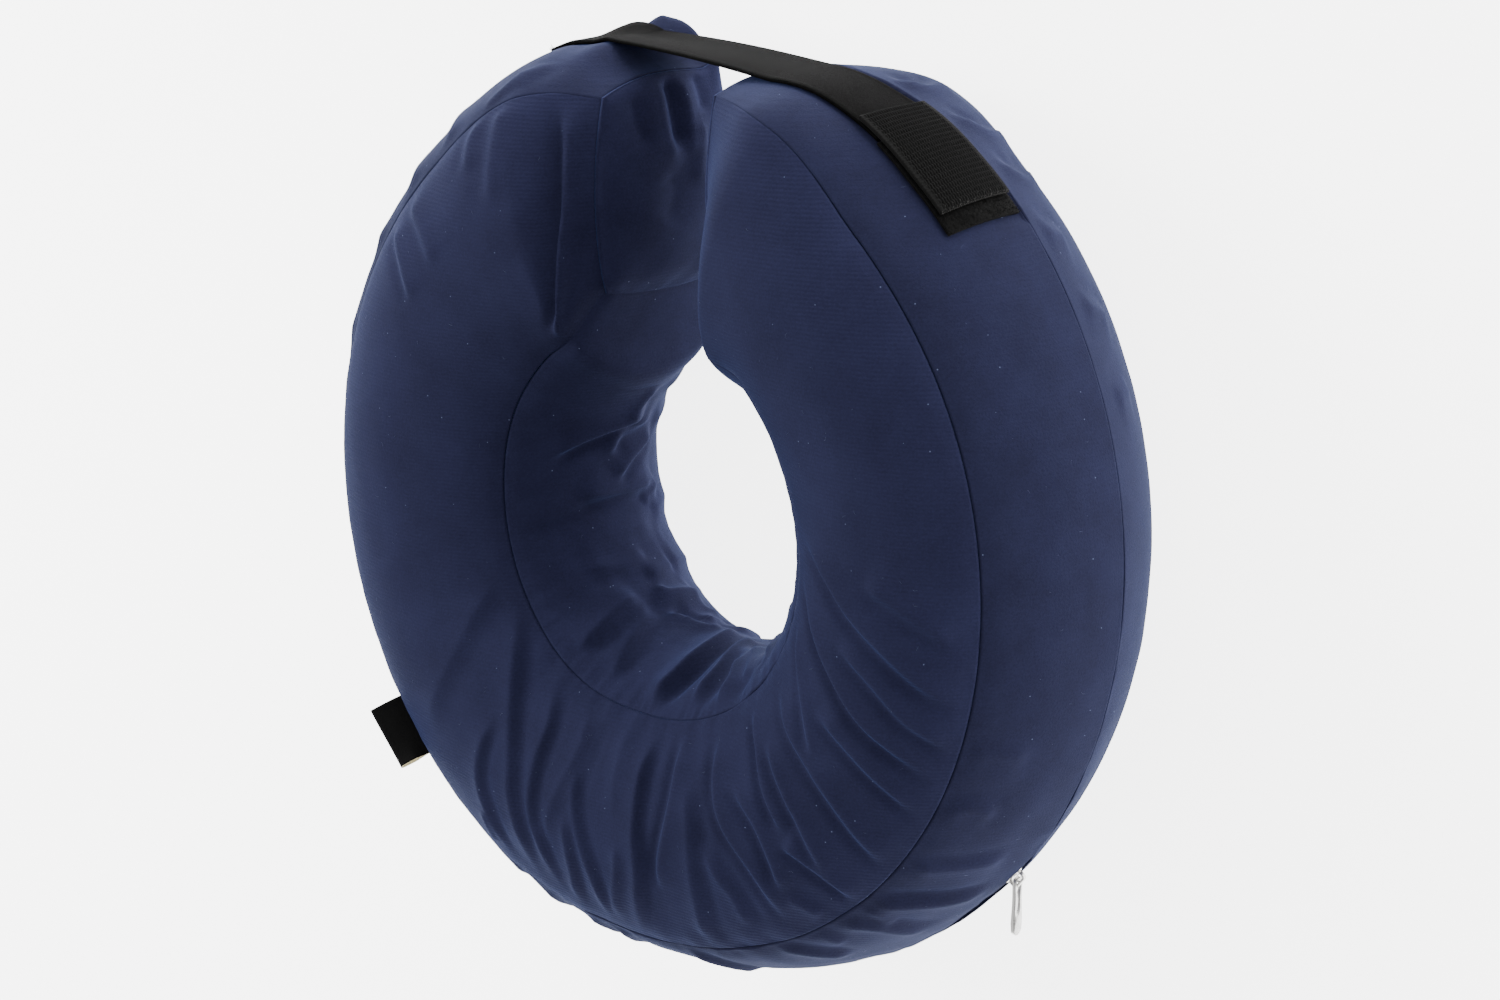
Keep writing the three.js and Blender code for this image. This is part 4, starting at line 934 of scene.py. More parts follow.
def cover_cloth(name, rib_depth, cloud_scale, dark, light, sheen):
    """Dark navy brushed knit."""
    material, tree, shader, place = new_material(
        name, Roughness=0.95, Specular_IOR_Level=0.08, Sheen_Weight=sheen, Sheen_Roughness=0.36,
        Sheen_Tint=colour(60, 104, 186))
    nap = place_group(tree, "nap", place, Cloud=cloud_scale)
    ribs = place_group(tree, "ribs", place)
    lint = place_group(tree, "lint", place)
    tone = math_node(tree, "MULTIPLY_ADD", nap.outputs["Grain"], 1.2, nap.outputs["Cloud"])
    base = mix_colours(tree, stretched(tree, tone, 0.75, 1.45), dark, light)
    ribbed = math_node(tree, "MULTIPLY", stretched(tree, ribs.outputs["Height"], 0.0, 1.0), rib_depth)
    base = mix_colours(tree, ribbed, base, dark)
    base = mix_colours(tree, math_node(tree, "MULTIPLY", lint.outputs["Speck"], 0.55), base, LINT)
    tree.links.new(base, shader.inputs["Base Color"])
    grain = math_node(tree, "MULTIPLY_ADD", nap.outputs["Grain"], 0.7, 0.0)
    height = math_node(tree, "MULTIPLY_ADD", ribs.outputs["Height"], rib_depth * 1.5, grain)
    bump = add_node(tree, "ShaderNodeBump", None, Strength=0.5, Distance=0.0004, Height=height)
    tree.links.new(bump.outputs[0], shader.inputs["Normal"])
    return material


def trim_textile(name, tone_low, tone_high, sheen, bump_strength, grain_scale, woven=False, shine=0.1):
    """Webbing, fastener tape, ribbon, thread or pile."""
    material, tree, shader, place = new_material(
        name, Roughness=0.9, Specular_IOR_Level=shine, Sheen_Weight=sheen, Sheen_Roughness=0.4,
        Sheen_Tint=colour(160, 155, 150))
    nap = place_group(tree, "nap", place, Cloud=90.0, Grain=grain_scale)
    base = mix_colours(tree, stretched(tree, nap.outputs["Grain"], 0.3, 0.7), tone_low, tone_high)
    tree.links.new(base, shader.inputs["Base Color"])
    height = nap.outputs["Grain"]
    if woven:
        weave = place_group(tree, "weave", place)
        height = math_node(tree, "MULTIPLY_ADD", weave.outputs["Height"], 1.2, height)
    bump = add_node(tree, "ShaderNodeBump", None, Strength=bump_strength, Distance=0.0004, Height=height)
    tree.links.new(bump.outputs[0], shader.inputs["Normal"])
    return material


def silver_metal(name):
    material, tree, shader, place = new_material(name, Metallic=0.9, Roughness=0.3)
    nap = place_group(tree, "nap", place, Cloud=500.0, Grain=4000.0)
    base = mix_colours(tree, nap.outputs["Cloud"], colour(205, 203, 200), colour(232, 231, 229))
    tree.links.new(base, shader.inputs["Base Color"])
    tree.links.new(stretched(tree, nap.outputs["Cloud"], 0.3, 0.7, 0.24, 0.4), shader.inputs["Roughness"])
    bump = add_node(tree, "ShaderNodeBump", None, Strength=0.12, Distance=0.0001, Height=nap.outputs["Grain"])
    tree.links.new(bump.outputs[0], shader.inputs["Normal"])
    return material


def bladder_film():
    material, tree, shader, place = new_material("bladder_film", Roughness=0.4)
    nap = place_group(tree, "nap", place)
    base = mix_colours(tree, nap.outputs["Cloud"], colour(140, 148, 158), colour(160, 168, 178))
    tree.links.new(base, shader.inputs["Base Color"])
    return material


RIBBED_CLOTH = cover_cloth("navy_knit_ribbed", 0.25, 38.0, NAVY_DARK, NAVY_LIGHT, 0.145)
SMOOTH_CLOTH = cover_cloth("navy_knit_smooth", 0.12, 60.0, NAVY_DARK, NAVY_LIGHT, 0.17)
# The outer bands get the same knit in the darker navy above: a shaded copy of the cloth, painted shade
BAND_CLOTH_PAINTED_SHADE = cover_cloth("navy_knit_band_painted_shade", 0.1, 60.0, BAND_SHADED_DARK, BAND_SHADED_LIGHT, 0.12)
CLOTH_OF = {
    "cover_front_panel": RIBBED_CLOTH,
    "cover_back_panel": RIBBED_CLOTH,
    "cover_inner_band": SMOOTH_CLOTH,
    "outer_band_front": BAND_CLOTH_PAINTED_SHADE,
    "outer_band_back": BAND_CLOTH_PAINTED_SHADE,
    "end_cap_left": SMOOTH_CLOTH,
    "end_cap_right": SMOOTH_CLOTH,
}
WEBBING = trim_textile("black_webbing", colour(4, 4, 4), colour(14, 14, 14), 0.0, 1.0, 900.0,
                       woven=True, shine=0.03)
HOOK_BACKING = trim_textile("black_hook_tape", colour(5, 5, 5), colour(15, 15, 15), 0.01, 0.4, 1800.0)
LOOP_PILE = trim_textile("black_loop_pile", colour(3, 3, 3), colour(9, 9, 9), 0.02, 0.9, 1200.0)
ZIP_BLACK = trim_textile("black_zip_tape", colour(5, 5, 6), colour(12, 12, 13), 0.01, 0.4, 1500.0)
LABEL_BLACK = trim_textile("black_label_satin", colour(5, 5, 5), colour(11, 11, 11), 0.01, 0.3, 2600.0)
THREAD = trim_textile("black_thread", colour(40, 40, 40), colour(74, 73, 72), 0.03, 0.3, 1500.0)
SILVER = silver_metal("silver_zip_metal")
LABEL_INSIDE = trim_textile("cream_label_inside", colour(196, 184, 140), colour(226, 216, 178),
                            0.1, 0.3, 2600.0)
PALE_LINT = trim_textile("pale_lint", colour(58, 66, 92), colour(96, 104, 128), 0.05, 0.1, 900.0)


# The strap and its fasteners

def strap_spots(at, aside, lift):
    """Places over the outer bands on the strap's line: a grid of angles by distances from its middle."""
    at = np.asarray(at, float) % FULL_TURN
    section = sections_at(at)
    across = strap_across(at)[:, None]
    length = spots(section, "outer", across)[3][:, None]
    share = across + np.asarray(aside)[None, :] / length
    point, normal, _, _ = spots(section, "outer", share)
    lift = np.broadcast_to(lift, share.shape)
    return in_space(section, point + normal * lift[..., None], ARM_TIPS)


def strap_touches():
    """Where the taut strap leaves each arm: the places that its straight stretch just touches."""
    left, right = STRAP_FROM, STRAP_TO - FULL_TURN
    for _ in range(6):
        start = strap_spots([left], [0.0], 0.0)[0, 0]
        end = strap_spots([right], [0.0], 0.0)[0, 0]
        slope = (end[1] - start[1]) / (end[0] - start[0])
        on_left = np.linspace(FIRST_AT, STRAP_FROM, 80)
        on_right = np.linspace(STRAP_TO, LAST_AT, 120) - FULL_TURN
        heights = lambda angles: strap_spots(angles, [0.0], 0.0)[:, 0] @ np.array([-slope, 1.0, 0])
        left = on_left[np.argmax(heights(on_left))]
        right = on_right[np.argmax(heights(on_right))]
    return left, right


def strap_grid(aside, lift):
    """The strap's surface from its left end to its right end: laid, bridging the gap, laid."""
    left, right = strap_touches()
    laid_left = strap_spots(np.linspace(STRAP_FROM, left, 44), aside, lift)
    laid_right = strap_spots(np.linspace(right, STRAP_TO - FULL_TURN, 60), aside, lift)
    t = np.linspace(0, 1, 100)[1:-1, None, None]
    bridge = laid_left[-1][None] * (1 - t) + laid_right[0][None] * t
    bridge[..., 1:2] += STRAP_ARCH * np.sin(math.pi * t)
    return np.concatenate([laid_left, bridge, laid_right])


def ribbon_profile(aside, width, thick, edge=0.5 * MM):
    """How far a ribbon's face falls off at its long edges."""
    to_side = width / 2 - np.abs(aside)
    t = np.clip(to_side / edge, 0, 1)
    return thick / 2 * (1 - np.sqrt(1 - (1 - t) ** 2))


def closure_strap():
    edge = np.array([0, 0.1, 0.25, 0.5]) * MM
    half = STRAP_WIDTH / 2
    flat = half - 0.8 * MM
    aside = np.concatenate([edge - half, np.linspace(-flat, flat, 58), half - edge[::-1]])
    drop = ribbon_profile(aside, STRAP_WIDTH, STRAP_THICK)
    selvedge = 0.12 * MM * np.exp(-(((np.abs(aside) - half + 1.4 * MM) / (0.7 * MM)) ** 2))
    top = strap_grid(aside, CLEAR + STRAP_THICK - drop + selvedge)
    under = strap_grid(aside, CLEAR + drop)
    piece = shell("closure_strap", top, under)
    finish_piece(piece, ["closure_strap"], WEBBING)


def hook_tape():
    """Coarse woven tape: rows of short slanting ridges with narrow slots between them."""
    columns, rows = 210, 170
    at = np.linspace(HOOK_FROM, HOOK_TO, columns)
    aside = np.linspace(-STRAP_WIDTH / 2, STRAP_WIDTH / 2, rows)
    tape_length = abs(HOOK_TO - HOOK_FROM) * DEG * (RING_RADIUS + OUTER_HALF)
    along = (np.linspace(0, 1, columns) * tape_length)[:, None]
    row = along / HOOK_ROW
    slant = 0.35 * HOOK_DASH * (row % 1)
    dash = (aside[None, :] + slant) / HOOK_DASH
    cell = np.abs(np.sin(math.pi * row)) ** 0.35 * np.abs(np.sin(math.pi * dash)) ** 0.8
    selvedge = STRAP_WIDTH / 2 - np.abs(aside)[None, :] < 1.8 * MM
    edge_weave = 0.45 + 0.15 * np.abs(np.sin(math.pi * along / (0.8 * MM)))
    relief = HOOK_RELIEF * np.where(selvedge, edge_weave, cell)
    drop = ribbon_profile(aside, STRAP_WIDTH, HOOK_THICK)[None, :]
    top = strap_spots(at, aside, HOOK_LIFT + HOOK_THICK - 0.3 * MM - drop + relief)
    under = strap_spots(at, aside, HOOK_LIFT + drop + 0 * along)
    piece = shell("hook_tape", top, under)
    finish_piece(piece, ["hook_tape"], HOOK_BACKING)


def zigzag_end():
    """The pale overlock stitches along the tape's cut end."""
    count = 40
    aside = np.linspace(0.6 * MM - STRAP_WIDTH / 2, STRAP_WIDTH / 2 - 0.6 * MM, count)
    swing = np.where(np.arange(count) % 2 == 0, 0.1, 0.62)
    lift = HOOK_LIFT + HOOK_THICK + 0.05 * MM
    line = [strap_spots([HOOK_TO + s], [a], lift)[0, 0] for s, a in zip(swing, aside)]
    edge = [strap_spots([HOOK_TO - 0.12], [a], HOOK_LIFT + 0.9 * MM)[0, 0] for a in aside]
    row = np.array([p for pair in zip(line, edge) for p in pair])
    piece = mesh_piece("strap_end_stitches", *tube_arrays(row, 0.17 * MM, 6))
    finish_trim(piece, THREAD)


def loop_patch():
    """The fuzzy patch under the tape, with a fringe of short loops."""
    columns, rows = 90, 90
    at = np.linspace(PATCH_FROM, PATCH_TO, columns)
    aside = np.linspace(-PATCH_WIDTH / 2, PATCH_WIDTH / 2, rows)
    draw = np.random.default_rng(5)
    rough = draw.uniform(-0.12, 0.12, (columns, rows)) * MM
    drop = ribbon_profile(aside, PATCH_WIDTH, PATCH_THICK)[None, :]
    top = strap_spots(at, aside, CLEAR + PATCH_THICK - 0.15 * MM - drop + rough)
    under = strap_spots(at, aside, CLEAR + drop + 0 * rough)
    piece = shell("loop_patch", top, under)
    finish_piece(piece, ["loop_patch"], LOOP_PILE)
    fringe = []
    for _ in range(900):
        spot_at = draw.uniform(PATCH_TO, HOOK_TO + 0.6)
        spot_aside = draw.uniform(-PATCH_WIDTH / 2, PATCH_WIDTH / 2)
        start = strap_spots([spot_at], [spot_aside], CLEAR + PATCH_THICK - 0.25 * MM)[0, 0]
        tip = strap_spots([spot_at], [spot_aside], CLEAR + PATCH_THICK + draw.uniform(0.1, 0.45) * MM)[0, 0]
        tip = tip + draw.uniform(-0.4, 0.4, 3) * MM
        middle = (start + tip) / 2 + draw.uniform(-0.1, 0.1, 3) * MM
        fringe.append(tube_arrays([start, middle, tip], 0.05 * MM, 4))
    fuzz = mesh_piece("loop_patch_pile", *joined(fringe))
    finish_trim(fuzz, LOOP_PILE)


# The zip

def zip_chain():
    """The closed zip in its slot: two woven tapes' edges and the row of coil turns between them."""
    steps = 240
    at = np.linspace(ZIP_FROM, ZIP_TO, steps)
    section = sections_at(at)
    length = spots(section, "outer", [CROWN_SEAM])[3][:, None]
    half = 1.45 * MM
    aside = np.linspace(-half, half, 15)
    share = CROWN_SEAM + aside[None, :] / length
    point, normal, _, _ = spots(section, "outer", share)
    hump = 0.5 * MM * np.cos(math.pi * aside / (2 * half))[None, :, None]
    top = in_space(section, point + normal * (-ZIP_TAPE_DEPTH + hump))
    under = in_space(section, point - normal * (ZIP_TAPE_DEPTH + 0.5 * MM))
    parts = [shell_arrays(top, under)]
    count = int((ZIP_TO - ZIP_FROM) * DEG * (RING_RADIUS + OUTER_HALF + OUTER_BULGE) / ZIP_PITCH)
    turn_at = np.linspace(ZIP_FROM + 0.4, ZIP_TO - 0.4, count)
    coil = sections_at(turn_at)
    for side in (-1, 1):
        lane = np.array([0.1, 0.45, 0.8, 1.05]) * side * MM
        lift = np.array([-1.0, -0.72, -0.72, -1.05]) * MM
        coil_length = spots(coil, "outer", [CROWN_SEAM])[3][:, None]
        spot, out, _, _ = spots(coil, "outer", CROWN_SEAM + lane[None, :] / coil_length)
        places = in_space(coil, spot + out * lift[None, :, None])
        shift = 0.25 * side * ZIP_PITCH
        for k in range(count):
            way = np.array([-coil["out"][k][1], coil["out"][k][0], 0])
            parts.append(tube_arrays(places[k] + way * shift, 0.28 * MM, 6))
    piece = mesh_piece("zip_chain", *joined(parts))
    finish_piece(piece, ["zip_chain"], ZIP_BLACK)


def outline_body(outline, hole, thick, bevel):
    """The rounded edges of a flat body: rings of points round its outline, and rings round its hole."""
    def ring(points, inset, sign):
        points = np.asarray(points, float)
        ahead = np.roll(points, -1, 0) - np.roll(points, 1, 0)
        ahead /= np.linalg.norm(ahead, axis=1)[:, None]
        return points + sign * inset * np.stack([-ahead[:, 1], ahead[:, 0]], -1)

    angle = np.linspace(0, math.pi / 2, 4)
    heights = thick / 2 - bevel + bevel * np.sin(angle)
    levels = list(zip(bevel * (1 - np.cos(angle)), heights))
    levels = [(i, -h) for i, h in levels[::-1]] + levels
    outer = np.stack([np.column_stack([ring(outline, i, 1), np.full(len(outline), h)]) for i, h in levels])
    inner = np.stack([np.column_stack([ring(hole, i, -1), np.full(len(hole), h)]) for i, h in levels])
    return outer, inner


def smooth_loop(points, count):
    """A closed smooth loop of count places through a few points."""
    points = np.asarray(points, float)
    n = len(points)
    t = np.linspace(0, n, count, endpoint=False)
    k = t.astype(int)
    t = (t - k)[:, None]
    a, b, c, d = (points[(k + s) % n] for s in (-1, 0, 1, 2))
    return 0.5 * (2 * b + (c - a) * t + (2 * a - 5 * b + 4 * c - d) * t**2 + (3 * b - a - 3 * c + d) * t**3)


def pull_body():
    """The drop-shaped pull: a rounded outline, and its long eye cut through."""
    half = PULL_WIDTH / 2
    neck = BRIDGE_WIDTH / 2 + 0.4 * MM + 0.65 * MM
    start = -PULL_BAR / 2
    edge = [(0.0, 0.45 * neck), (0.02, 0.8 * neck), (0.07, neck), (0.2, neck), (0.34, 0.97 * neck),
            (0.5, 0.8 * half), (0.66, 0.92 * half), (0.8, half), (0.9, 0.93 * half), (0.965, 0.66 * half),
            (0.995, 0.25 * half)]
    one = [(start + along * PULL_LENGTH, wide) for along, wide in edge]
    loop = one + [(x, -y) for x, y in reversed(one)]
    eye_start, eye_end, eye_side = PULL_BAR / 2, PULL_BAR / 2 + 6.2 * MM, BRIDGE_WIDTH / 2 + 0.4 * MM
    eye = [(eye_start, -0.7 * eye_side), (eye_start, 0.7 * eye_side), (eye_start + 0.5 * MM, eye_side),
           (eye_start + 3 * MM, eye_side), (eye_end - 1.5 * MM, 0.6 * eye_side), (eye_end, 0.3 * eye_side),
           (eye_end, -0.3 * eye_side), (eye_end - 1.5 * MM, -0.6 * eye_side), (eye_start + 3 * MM, -eye_side),
           (eye_start + 0.5 * MM, -eye_side)]
    count = 96
    outline = smooth_loop(loop, count)
    hole = smooth_loop(eye, count)
    middle = hole.mean(0)
    outline, hole = resample_by_angle(outline, middle, count), resample_by_angle(hole, middle, count)
    outer, inner = outline_body(outline[::-1], hole[::-1], PULL_THICK, 0.22 * MM)
    rings = np.concatenate([outer, inner[::-1]])
    return loft_loops(rings)


def resample_by_angle(loop, middle, count):
    """The loop's points at even turns round a middle, so that two loops match point for point."""
    fine = smooth_loop(loop, 4000)
    angle = np.unwrap(np.arctan2(fine[:, 1] - middle[1], fine[:, 0] - middle[0]))
    if angle[-1] < angle[0]:
        fine, angle = fine[::-1], angle[::-1]
    wanted = np.linspace(-math.pi, math.pi, count, endpoint=False)
    order = np.argsort(angle % (2 * math.pi))
    base = (angle % (2 * math.pi))[order]
    wanted = wanted % (2 * math.pi)
    x = np.interp(wanted, base, fine[order, 0], period=2 * math.pi)
    y = np.interp(wanted, base, fine[order, 1], period=2 * math.pi)
    return np.column_stack([x, y])


def loft_loops(rings):
    """A closed body like a tyre: loops joined one to the next, and the last to the first."""
    count, sides = rings.shape[:2]
    i, j = np.meshgrid(np.arange(count), np.arange(sides), indexing="ij")
    a = i * sides + j
    b = i * sides + (j + 1) % sides
    c = ((i + 1) % count) * sides + (j + 1) % sides
    d = ((i + 1) % count) * sides + j
    quads = np.stack([a, b, c, d], -1).reshape(-1, 4)
    points = rings.reshape(-1, 3)
    p, q, r, s = (points[quads[:, k]] for k in range(4))
    volume = np.einsum("ij,ij->i", p, np.cross(q, r)).sum() + np.einsum("ij,ij->i", p, np.cross(r, s)).sum()
    return points, quads if volume > 0 else quads[:, ::-1]


def slider_matrix():
    origin, along, across, outward = slider_place()
    matrix = np.eye(4)
    matrix[:3, 0], matrix[:3, 1], matrix[:3, 2], matrix[:3, 3] = along, across, outward, origin
    return matrix


def placed_by(matrix, points):
    return points @ matrix[:3, :3].T + matrix[:3, 3]


def zip_pull():
    points, quads = pull_body()
    turn = PULL_REST_TURN * DEG
    swing = np.array([[math.cos(turn), 0, -math.sin(turn)], [0, 1, 0], [math.sin(turn), 0, math.cos(turn)]])
    points = points @ swing.T + np.array([0, 0, HINGE_LIFT])
    piece = mesh_piece("zip_pull", placed_by(slider_matrix(), points), quads)
    finish_piece(piece, ["zip_pull"], SILVER, body="pull")


def slider_dome():
    """The slider's rounded top plate: a grid that bulges between its tapered sides."""
    u = np.sin(np.linspace(-math.pi / 2, math.pi / 2, 33))
    v = np.sin(np.linspace(-math.pi / 2, math.pi / 2, 25))
    wide = np.interp(u, [-1, -0.8, 0.1, 0.75, 1], [0.62, 0.98, 1, 0.72, 0.5])
    x = np.broadcast_to(u[:, None] * SLIDER_LENGTH / 2, (33, 25))
    y = v[None, :] * wide[:, None] * SLIDER_WIDTH / 2
    rise = np.sqrt(np.maximum(0, 1 - v[None, :] ** 2)) * np.sqrt(np.maximum(0, 1 - u[:, None] ** 4))
    top = np.stack([x, y, CLEAR + SLIDER_THICK * (0.25 + 0.75 * rise)], -1)
    under = np.stack([x, y, np.full_like(x, CLEAR)], -1)
    return shell_arrays(top, under)


def slider_bridge():
    """The arch that holds the pull, a flat band with rounded shoulders."""
    half = BRIDGE_WINDOW / 2 + BRIDGE_BAR / 2
    crown = CLEAR + SLIDER_THICK + BRIDGE_HEIGHT + BRIDGE_BAR / 2
    base = CLEAR + SLIDER_THICK / 2
    t = np.linspace(0, 1, 11)[:, None]
    corner = np.pi / 2 * t
    radius = 0.9 * MM
    left = np.hstack([-half + radius - radius * np.cos(corner), crown - radius + radius * np.sin(corner)])
    right = left[::-1] * np.array([-1, 1])
    line = np.vstack([[[-half, base]], left, right, [[half, base]]])
    line = np.column_stack([line[:, 0], np.zeros(len(line)), line[:, 1]])
    way = np.gradient(line, axis=0)
    way /= np.linalg.norm(way, axis=1)[:, None]
    normal = np.cross(way, [0, 1.0, 0])
    turn = np.linspace(0, 2 * math.pi, 12, endpoint=False)
    squared = lambda c: np.sign(c) * np.abs(c) ** 0.6
    side = squared(np.cos(turn)) * BRIDGE_WIDTH / 2
    thick = squared(np.sin(turn)) * BRIDGE_BAR / 2
    rings = line[:, None] + side[None, :, None] * np.array([0, 1.0, 0])
    rings = rings + thick[None, :, None] * normal[:, None]
    return closed_tube(line, rings)


def slider_keel():
    x = np.linspace(-2.4, 2.4, 9) * MM
    y = np.linspace(-0.9, 0.9, 5) * MM
    top = np.stack(np.broadcast_arrays(x[:, None], y[None, :], CLEAR + SLIDER_THICK / 2), -1)
    under = np.stack(np.broadcast_arrays(x[:, None] * 0.9, y[None, :] * 0.8, -0.6 * MM), -1)
    return shell_arrays(top, under)


def zip_slider():
    points, quads = joined([slider_dome(), slider_bridge(), slider_keel()])
    piece = mesh_piece("zip_slider", placed_by(slider_matrix(), points), quads)
    finish_piece(piece, ["zip_slider"], SILVER)


# The label

def side_label():
    """A ribbon folded once and sewn into the seam: black outside, cream inside, with nothing on it."""
    section = sections_at([LABEL_AT])
    front = spots(section, "front", [1.0])[1][0, 0]
    outer = spots(section, "outer", [0.0])[1][0, 0]
    away = (front + outer) / np.linalg.norm(front + outer)
    seam = in_space(section, section["front_out"][:, None])[0, 0]
    outward = way_in_space(section, away[None, None])[0, 0]
    along = np.cross(section["out"][0], [0, 0, 1.0])
    along /= np.linalg.norm(along)
    through_plies = np.cross(along, outward)
    half = LABEL_THICK / 2 - LABEL_PLY / 2
    straight = np.linspace(-LABEL_SEWN_DEPTH, LABEL_LENGTH - half - LABEL_PLY / 2, 26)
    bend = np.linspace(0, math.pi, 15)[1:-1]
    out_line = np.concatenate([straight, straight[-1] + half * np.sin(bend), straight[::-1]])
    ply_line = np.concatenate([np.full(26, half), half * np.cos(bend), np.full(26, -half)])
    belly = 0.35 * MM * np.sin(math.pi * np.clip(out_line / LABEL_LENGTH, 0, 1))
    sewn = (half - 0.55 * LABEL_PLY) * np.clip(1 - (out_line + LABEL_SEWN_DEPTH) / (4 * MM), 0, 1) ** 2
    ply_line = ply_line + np.sign(ply_line) * (belly - sewn)
    steps = np.gradient(np.column_stack([out_line, ply_line]), axis=0)
    steps /= np.linalg.norm(steps, axis=1)[:, None]
    faces = np.column_stack([-steps[:, 1], steps[:, 0]])
    across = np.linspace(-LABEL_WIDTH / 2, LABEL_WIDTH / 2, 41)
    origin = seam + outward * (CLEAR + 0.2 * MM)

    def sheet_at(offset):
        x = out_line - faces[:, 0] * offset
        y = ply_line - faces[:, 1] * offset
        flare = 1 + 0.02 * np.sin(across / LABEL_WIDTH * math.pi)
        place = origin + outward * x[:, None, None] * flare[None, :, None]
        lower_end = np.clip(-2 * across / LABEL_WIDTH, 0, 1) ** 3
        spread = 1 + 1.3 * lower_end[None, :] * np.clip(x / (4 * MM), 0, 1)[:, None]
        place = place + through_plies * (y[:, None] * spread)[..., None] + along * across[None, :, None]
        return place

    skin = shell("side_label", sheet_at(-LABEL_PLY / 2), sheet_at(0.0))
    finish_piece(skin, ["side_label"], LABEL_BLACK)
    lining = shell("side_label_lining", sheet_at(0.02 * MM), sheet_at(LABEL_PLY / 2))
    finish_trim(lining, LABEL_INSIDE)


# Loose threads and lint

def frayed_threads():
    """Short black threads at the strap's cut left end."""
    draw = np.random.default_rng(11)
    parts = []
    for aside, reach in ((-12.8, 1.4), (-11.5, 2.4), (-13.4, 1.0), (-6.0, 0.9), (4.0, 0.8), (12.2, 1.1)):
        start = strap_spots([STRAP_FROM - 0.15], [aside * MM], CLEAR + 0.7 * MM)[0, 0]
        tip = strap_spots([STRAP_FROM + 0.5 * reach / 2.4], [aside * MM], CLEAR + 0.7 * MM + reach * MM)[0, 0]
        middle = (start + tip) / 2 + draw.uniform(-0.4, 0.4, 3) * MM
        parts.append(tube_arrays(through([start, middle, tip], 7), np.linspace(0.16, 0.07, 7) * MM, 6))
    piece = mesh_piece("frayed_threads", *joined(parts))
    finish_trim(piece, THREAD)


def lint_hairs(points_by_side):
    """Fine pale hairs caught on the cloth."""
    draw = np.random.default_rng(23)
    parts = []
    for outer, count in points_by_side:
        columns, rows = outer.shape[:2]
        for _ in range(count):
            i = draw.integers(12, columns - 12)
            j = draw.integers(12, rows - 12)
            here = outer[i, j]
            u = outer[i + 4, j] - outer[i - 4, j]
            v = outer[i, j + 4] - outer[i, j - 4]
            normal = np.cross(u, v)
            normal /= np.linalg.norm(normal)
            outward = here - (RING_CENTRE + (here - RING_CENTRE) * [1, 1, 0]
                              / np.linalg.norm((here - RING_CENTRE)[:2]) * RING_RADIUS)
            normal *= np.sign(normal @ outward)
            u, v = u / np.linalg.norm(u), v / np.linalg.norm(v)
            angle, length = draw.uniform(0, 2 * math.pi), draw.uniform(0.3, 1.7) * MM
            way = u * math.cos(angle) + v * math.sin(angle)
            side = np.cross(normal, way)
            curl = draw.uniform(-0.35, 0.35) * length
            t = np.linspace(-0.5, 0.5, 5)[:, None]
            line = here + normal * (0.12 * MM) + way * length * t + side * curl * (4 * t * t - 0.5)
            line = line + normal * 0.25 * MM * (0.25 - t * t)
            parts.append(tube_arrays(line, 0.022 * MM, 4))
    piece = mesh_piece("lint_hairs", *joined(parts))
    finish_trim(piece, PALE_LINT)


# Building the collar

front_cloth = cover_piece("cover_front_panel", "front", near_edges(PANEL_LENGTH, ROW_STEP), 0, 1,
                          FRONT_FOLDS, 100)
cover_piece("cover_back_panel", "back", near_edges(PANEL_LENGTH, 3 * MM), 0, 1, BACK_FOLDS, 200)
inner_cloth = cover_piece("cover_inner_band", "inner", near_edges(INNER_LENGTH, 1.3 * MM), 0, 1,
                          INNER_FOLDS, 300)
outer_cloth = cover_piece("outer_band_front", "outer", near_edges(CROWN_SEAM * OUTER_LENGTH, 1.4 * MM), 0,
                          CROWN_SEAM, OUTER_FOLDS, 400, crown_high=True)
rear_cloth = cover_piece("outer_band_back", "outer", near_edges((1 - CROWN_SEAM) * OUTER_LENGTH, 1.6 * MM),
                         CROWN_SEAM, 1, OUTER_FOLDS, 500, crown_low=True)
cap_piece("end_cap_left", FIRST_AT, 1, CAP_DOME, 0.5 * MM, CAP_FOLDS, 600)
cap_piece("end_cap_right", LAST_AT, -1, 0.45 * CAP_DOME, 0.9 * MM, CAP_FOLDS[:3], 700)
closure_strap()
hook_tape()
zigzag_end()
loop_patch()
zip_chain()
zip_slider()
zip_pull()
side_label()
frayed_threads()
lint_hairs([(front_cloth, 120), (outer_cloth, 110), (rear_cloth, 50), (inner_cloth, 24)])
frame["nodes"]["air_bladder"].data.materials.clear()
frame["nodes"]["air_bladder"].data.materials.append(bladder_film())


# The stage: a pale floor, soft light and the camera

FLOOR_GLOW = 4.6
ROOM_GLOW = 1.12


def pale_floor():
    mesh = bpy.data.meshes.new("floor")
    size = 6.0
    corners = [(-size, -size, 0), (size, -size, 0), (size, size, 0), (-size, size, 0)]
    mesh.from_pydata(corners, [], [(0, 1, 2, 3)])
    floor = bpy.data.objects.new("floor", mesh)
    bpy.context.scene.collection.objects.link(floor)
    material, _, shader, _ = new_material("pale_floor", Roughness=0.9, Specular_IOR_Level=0.1)
    shader.inputs["Base Color"].default_value = (0.9, 0.9, 0.9, 1)
    shader.inputs["Emission Color"].default_value = (1, 1, 1, 1)
    shader.inputs["Emission Strength"].default_value = FLOOR_GLOW
    mesh.materials.append(material)
    floor.location.z = -0.0004


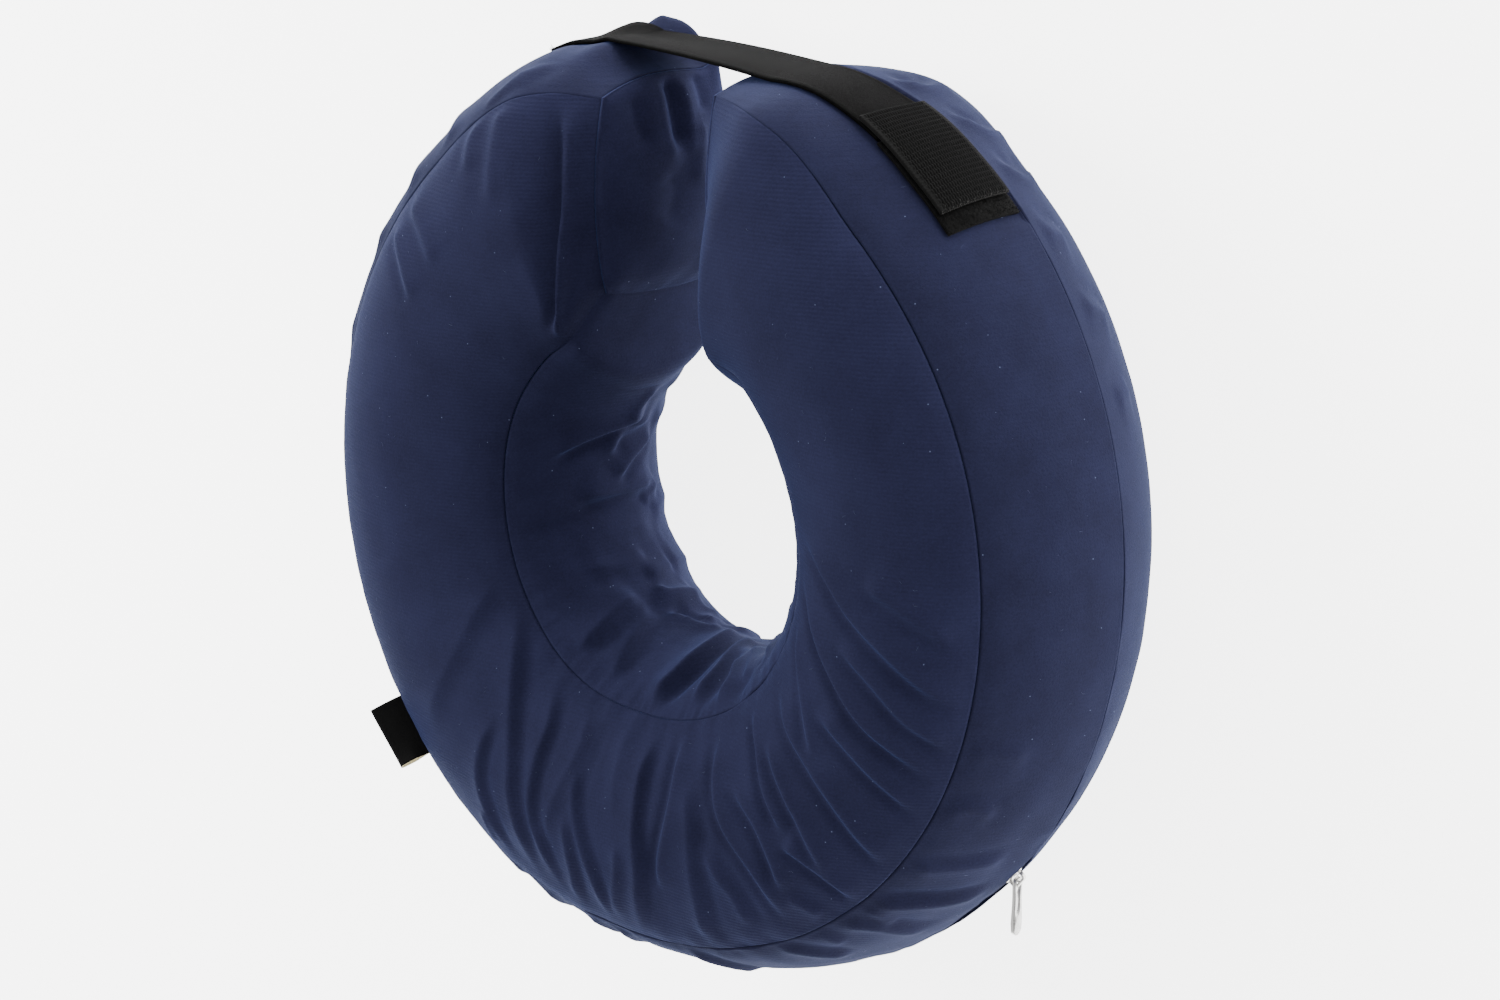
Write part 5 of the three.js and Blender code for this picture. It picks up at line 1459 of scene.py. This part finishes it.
def softbox(name, place, size, power, aim=(0, 0, 0.04)):
    light = bpy.data.lights.new(name, "AREA")
    light.shape = "RECTANGLE"
    light.size, light.size_y = size
    light.energy = power
    lamp = bpy.data.objects.new(name, light)
    bpy.context.scene.collection.objects.link(lamp)
    lamp.location = place
    lamp.rotation_mode = "QUATERNION"
    lamp.rotation_quaternion = (Vector(aim) - Vector(place)).to_track_quat("-Z", "Y")


def pale_room():
    world = bpy.data.worlds.new("pale_room")
    bpy.context.scene.world = world
    world.use_nodes = True
    background = world.node_tree.nodes["Background"]
    background.inputs["Color"].default_value = (1, 1, 1, 1)
    background.inputs["Strength"].default_value = ROOM_GLOW


CAMERA_AZIMUTH = 42.9
CAMERA_ELEVATION = 14.6
CAMERA_ROLL = -0.7
CAMERA_DISTANCE = 1.3123
FOCAL_PIXELS = 3946.0
IMAGE_WIDTH, IMAGE_HEIGHT = 1500, 1000
CENTRE_PIXEL = (723.0, 503.3)


def photo_camera():
    """The camera at the photograph's angle to the collar, found from the ring's centre."""
    azimuth, elevation, roll = CAMERA_AZIMUTH * DEG, CAMERA_ELEVATION * DEG, CAMERA_ROLL * DEG
    back = Vector((math.sin(azimuth) * math.cos(elevation), math.sin(elevation),
                   math.cos(azimuth) * math.cos(elevation)))
    right = Vector((0, 1, 0)).cross(back).normalized()
    up = back.cross(right)
    right, up = right * math.cos(roll) + up * math.sin(roll), up * math.cos(roll) - right * math.sin(roll)
    data = bpy.data.cameras.new("photo_camera")
    camera = bpy.data.objects.new("photo_camera", data)
    bpy.context.scene.collection.objects.link(camera)
    place = Vector(RING_CENTRE) + back * CAMERA_DISTANCE
    camera.matrix_world = Matrix((
        (right.x, up.x, back.x, place.x),
        (right.y, up.y, back.y, place.y),
        (right.z, up.z, back.z, place.z),
        (0, 0, 0, 1),
    ))
    data.sensor_width = 36
    data.lens = FOCAL_PIXELS / IMAGE_WIDTH * data.sensor_width
    data.shift_x = (IMAGE_WIDTH / 2 - CENTRE_PIXEL[0]) / IMAGE_WIDTH
    data.shift_y = (CENTRE_PIXEL[1] - IMAGE_HEIGHT / 2) / IMAGE_WIDTH
    bpy.context.scene.camera = camera


pale_floor()
pale_room()
softbox("top_light", (0.1, 1.4, 0.9), (1.0, 1.0), 6)
softbox("left_light", (-1.2, 0.5, 1.0), (0.9, 0.9), 36)
photo_camera()
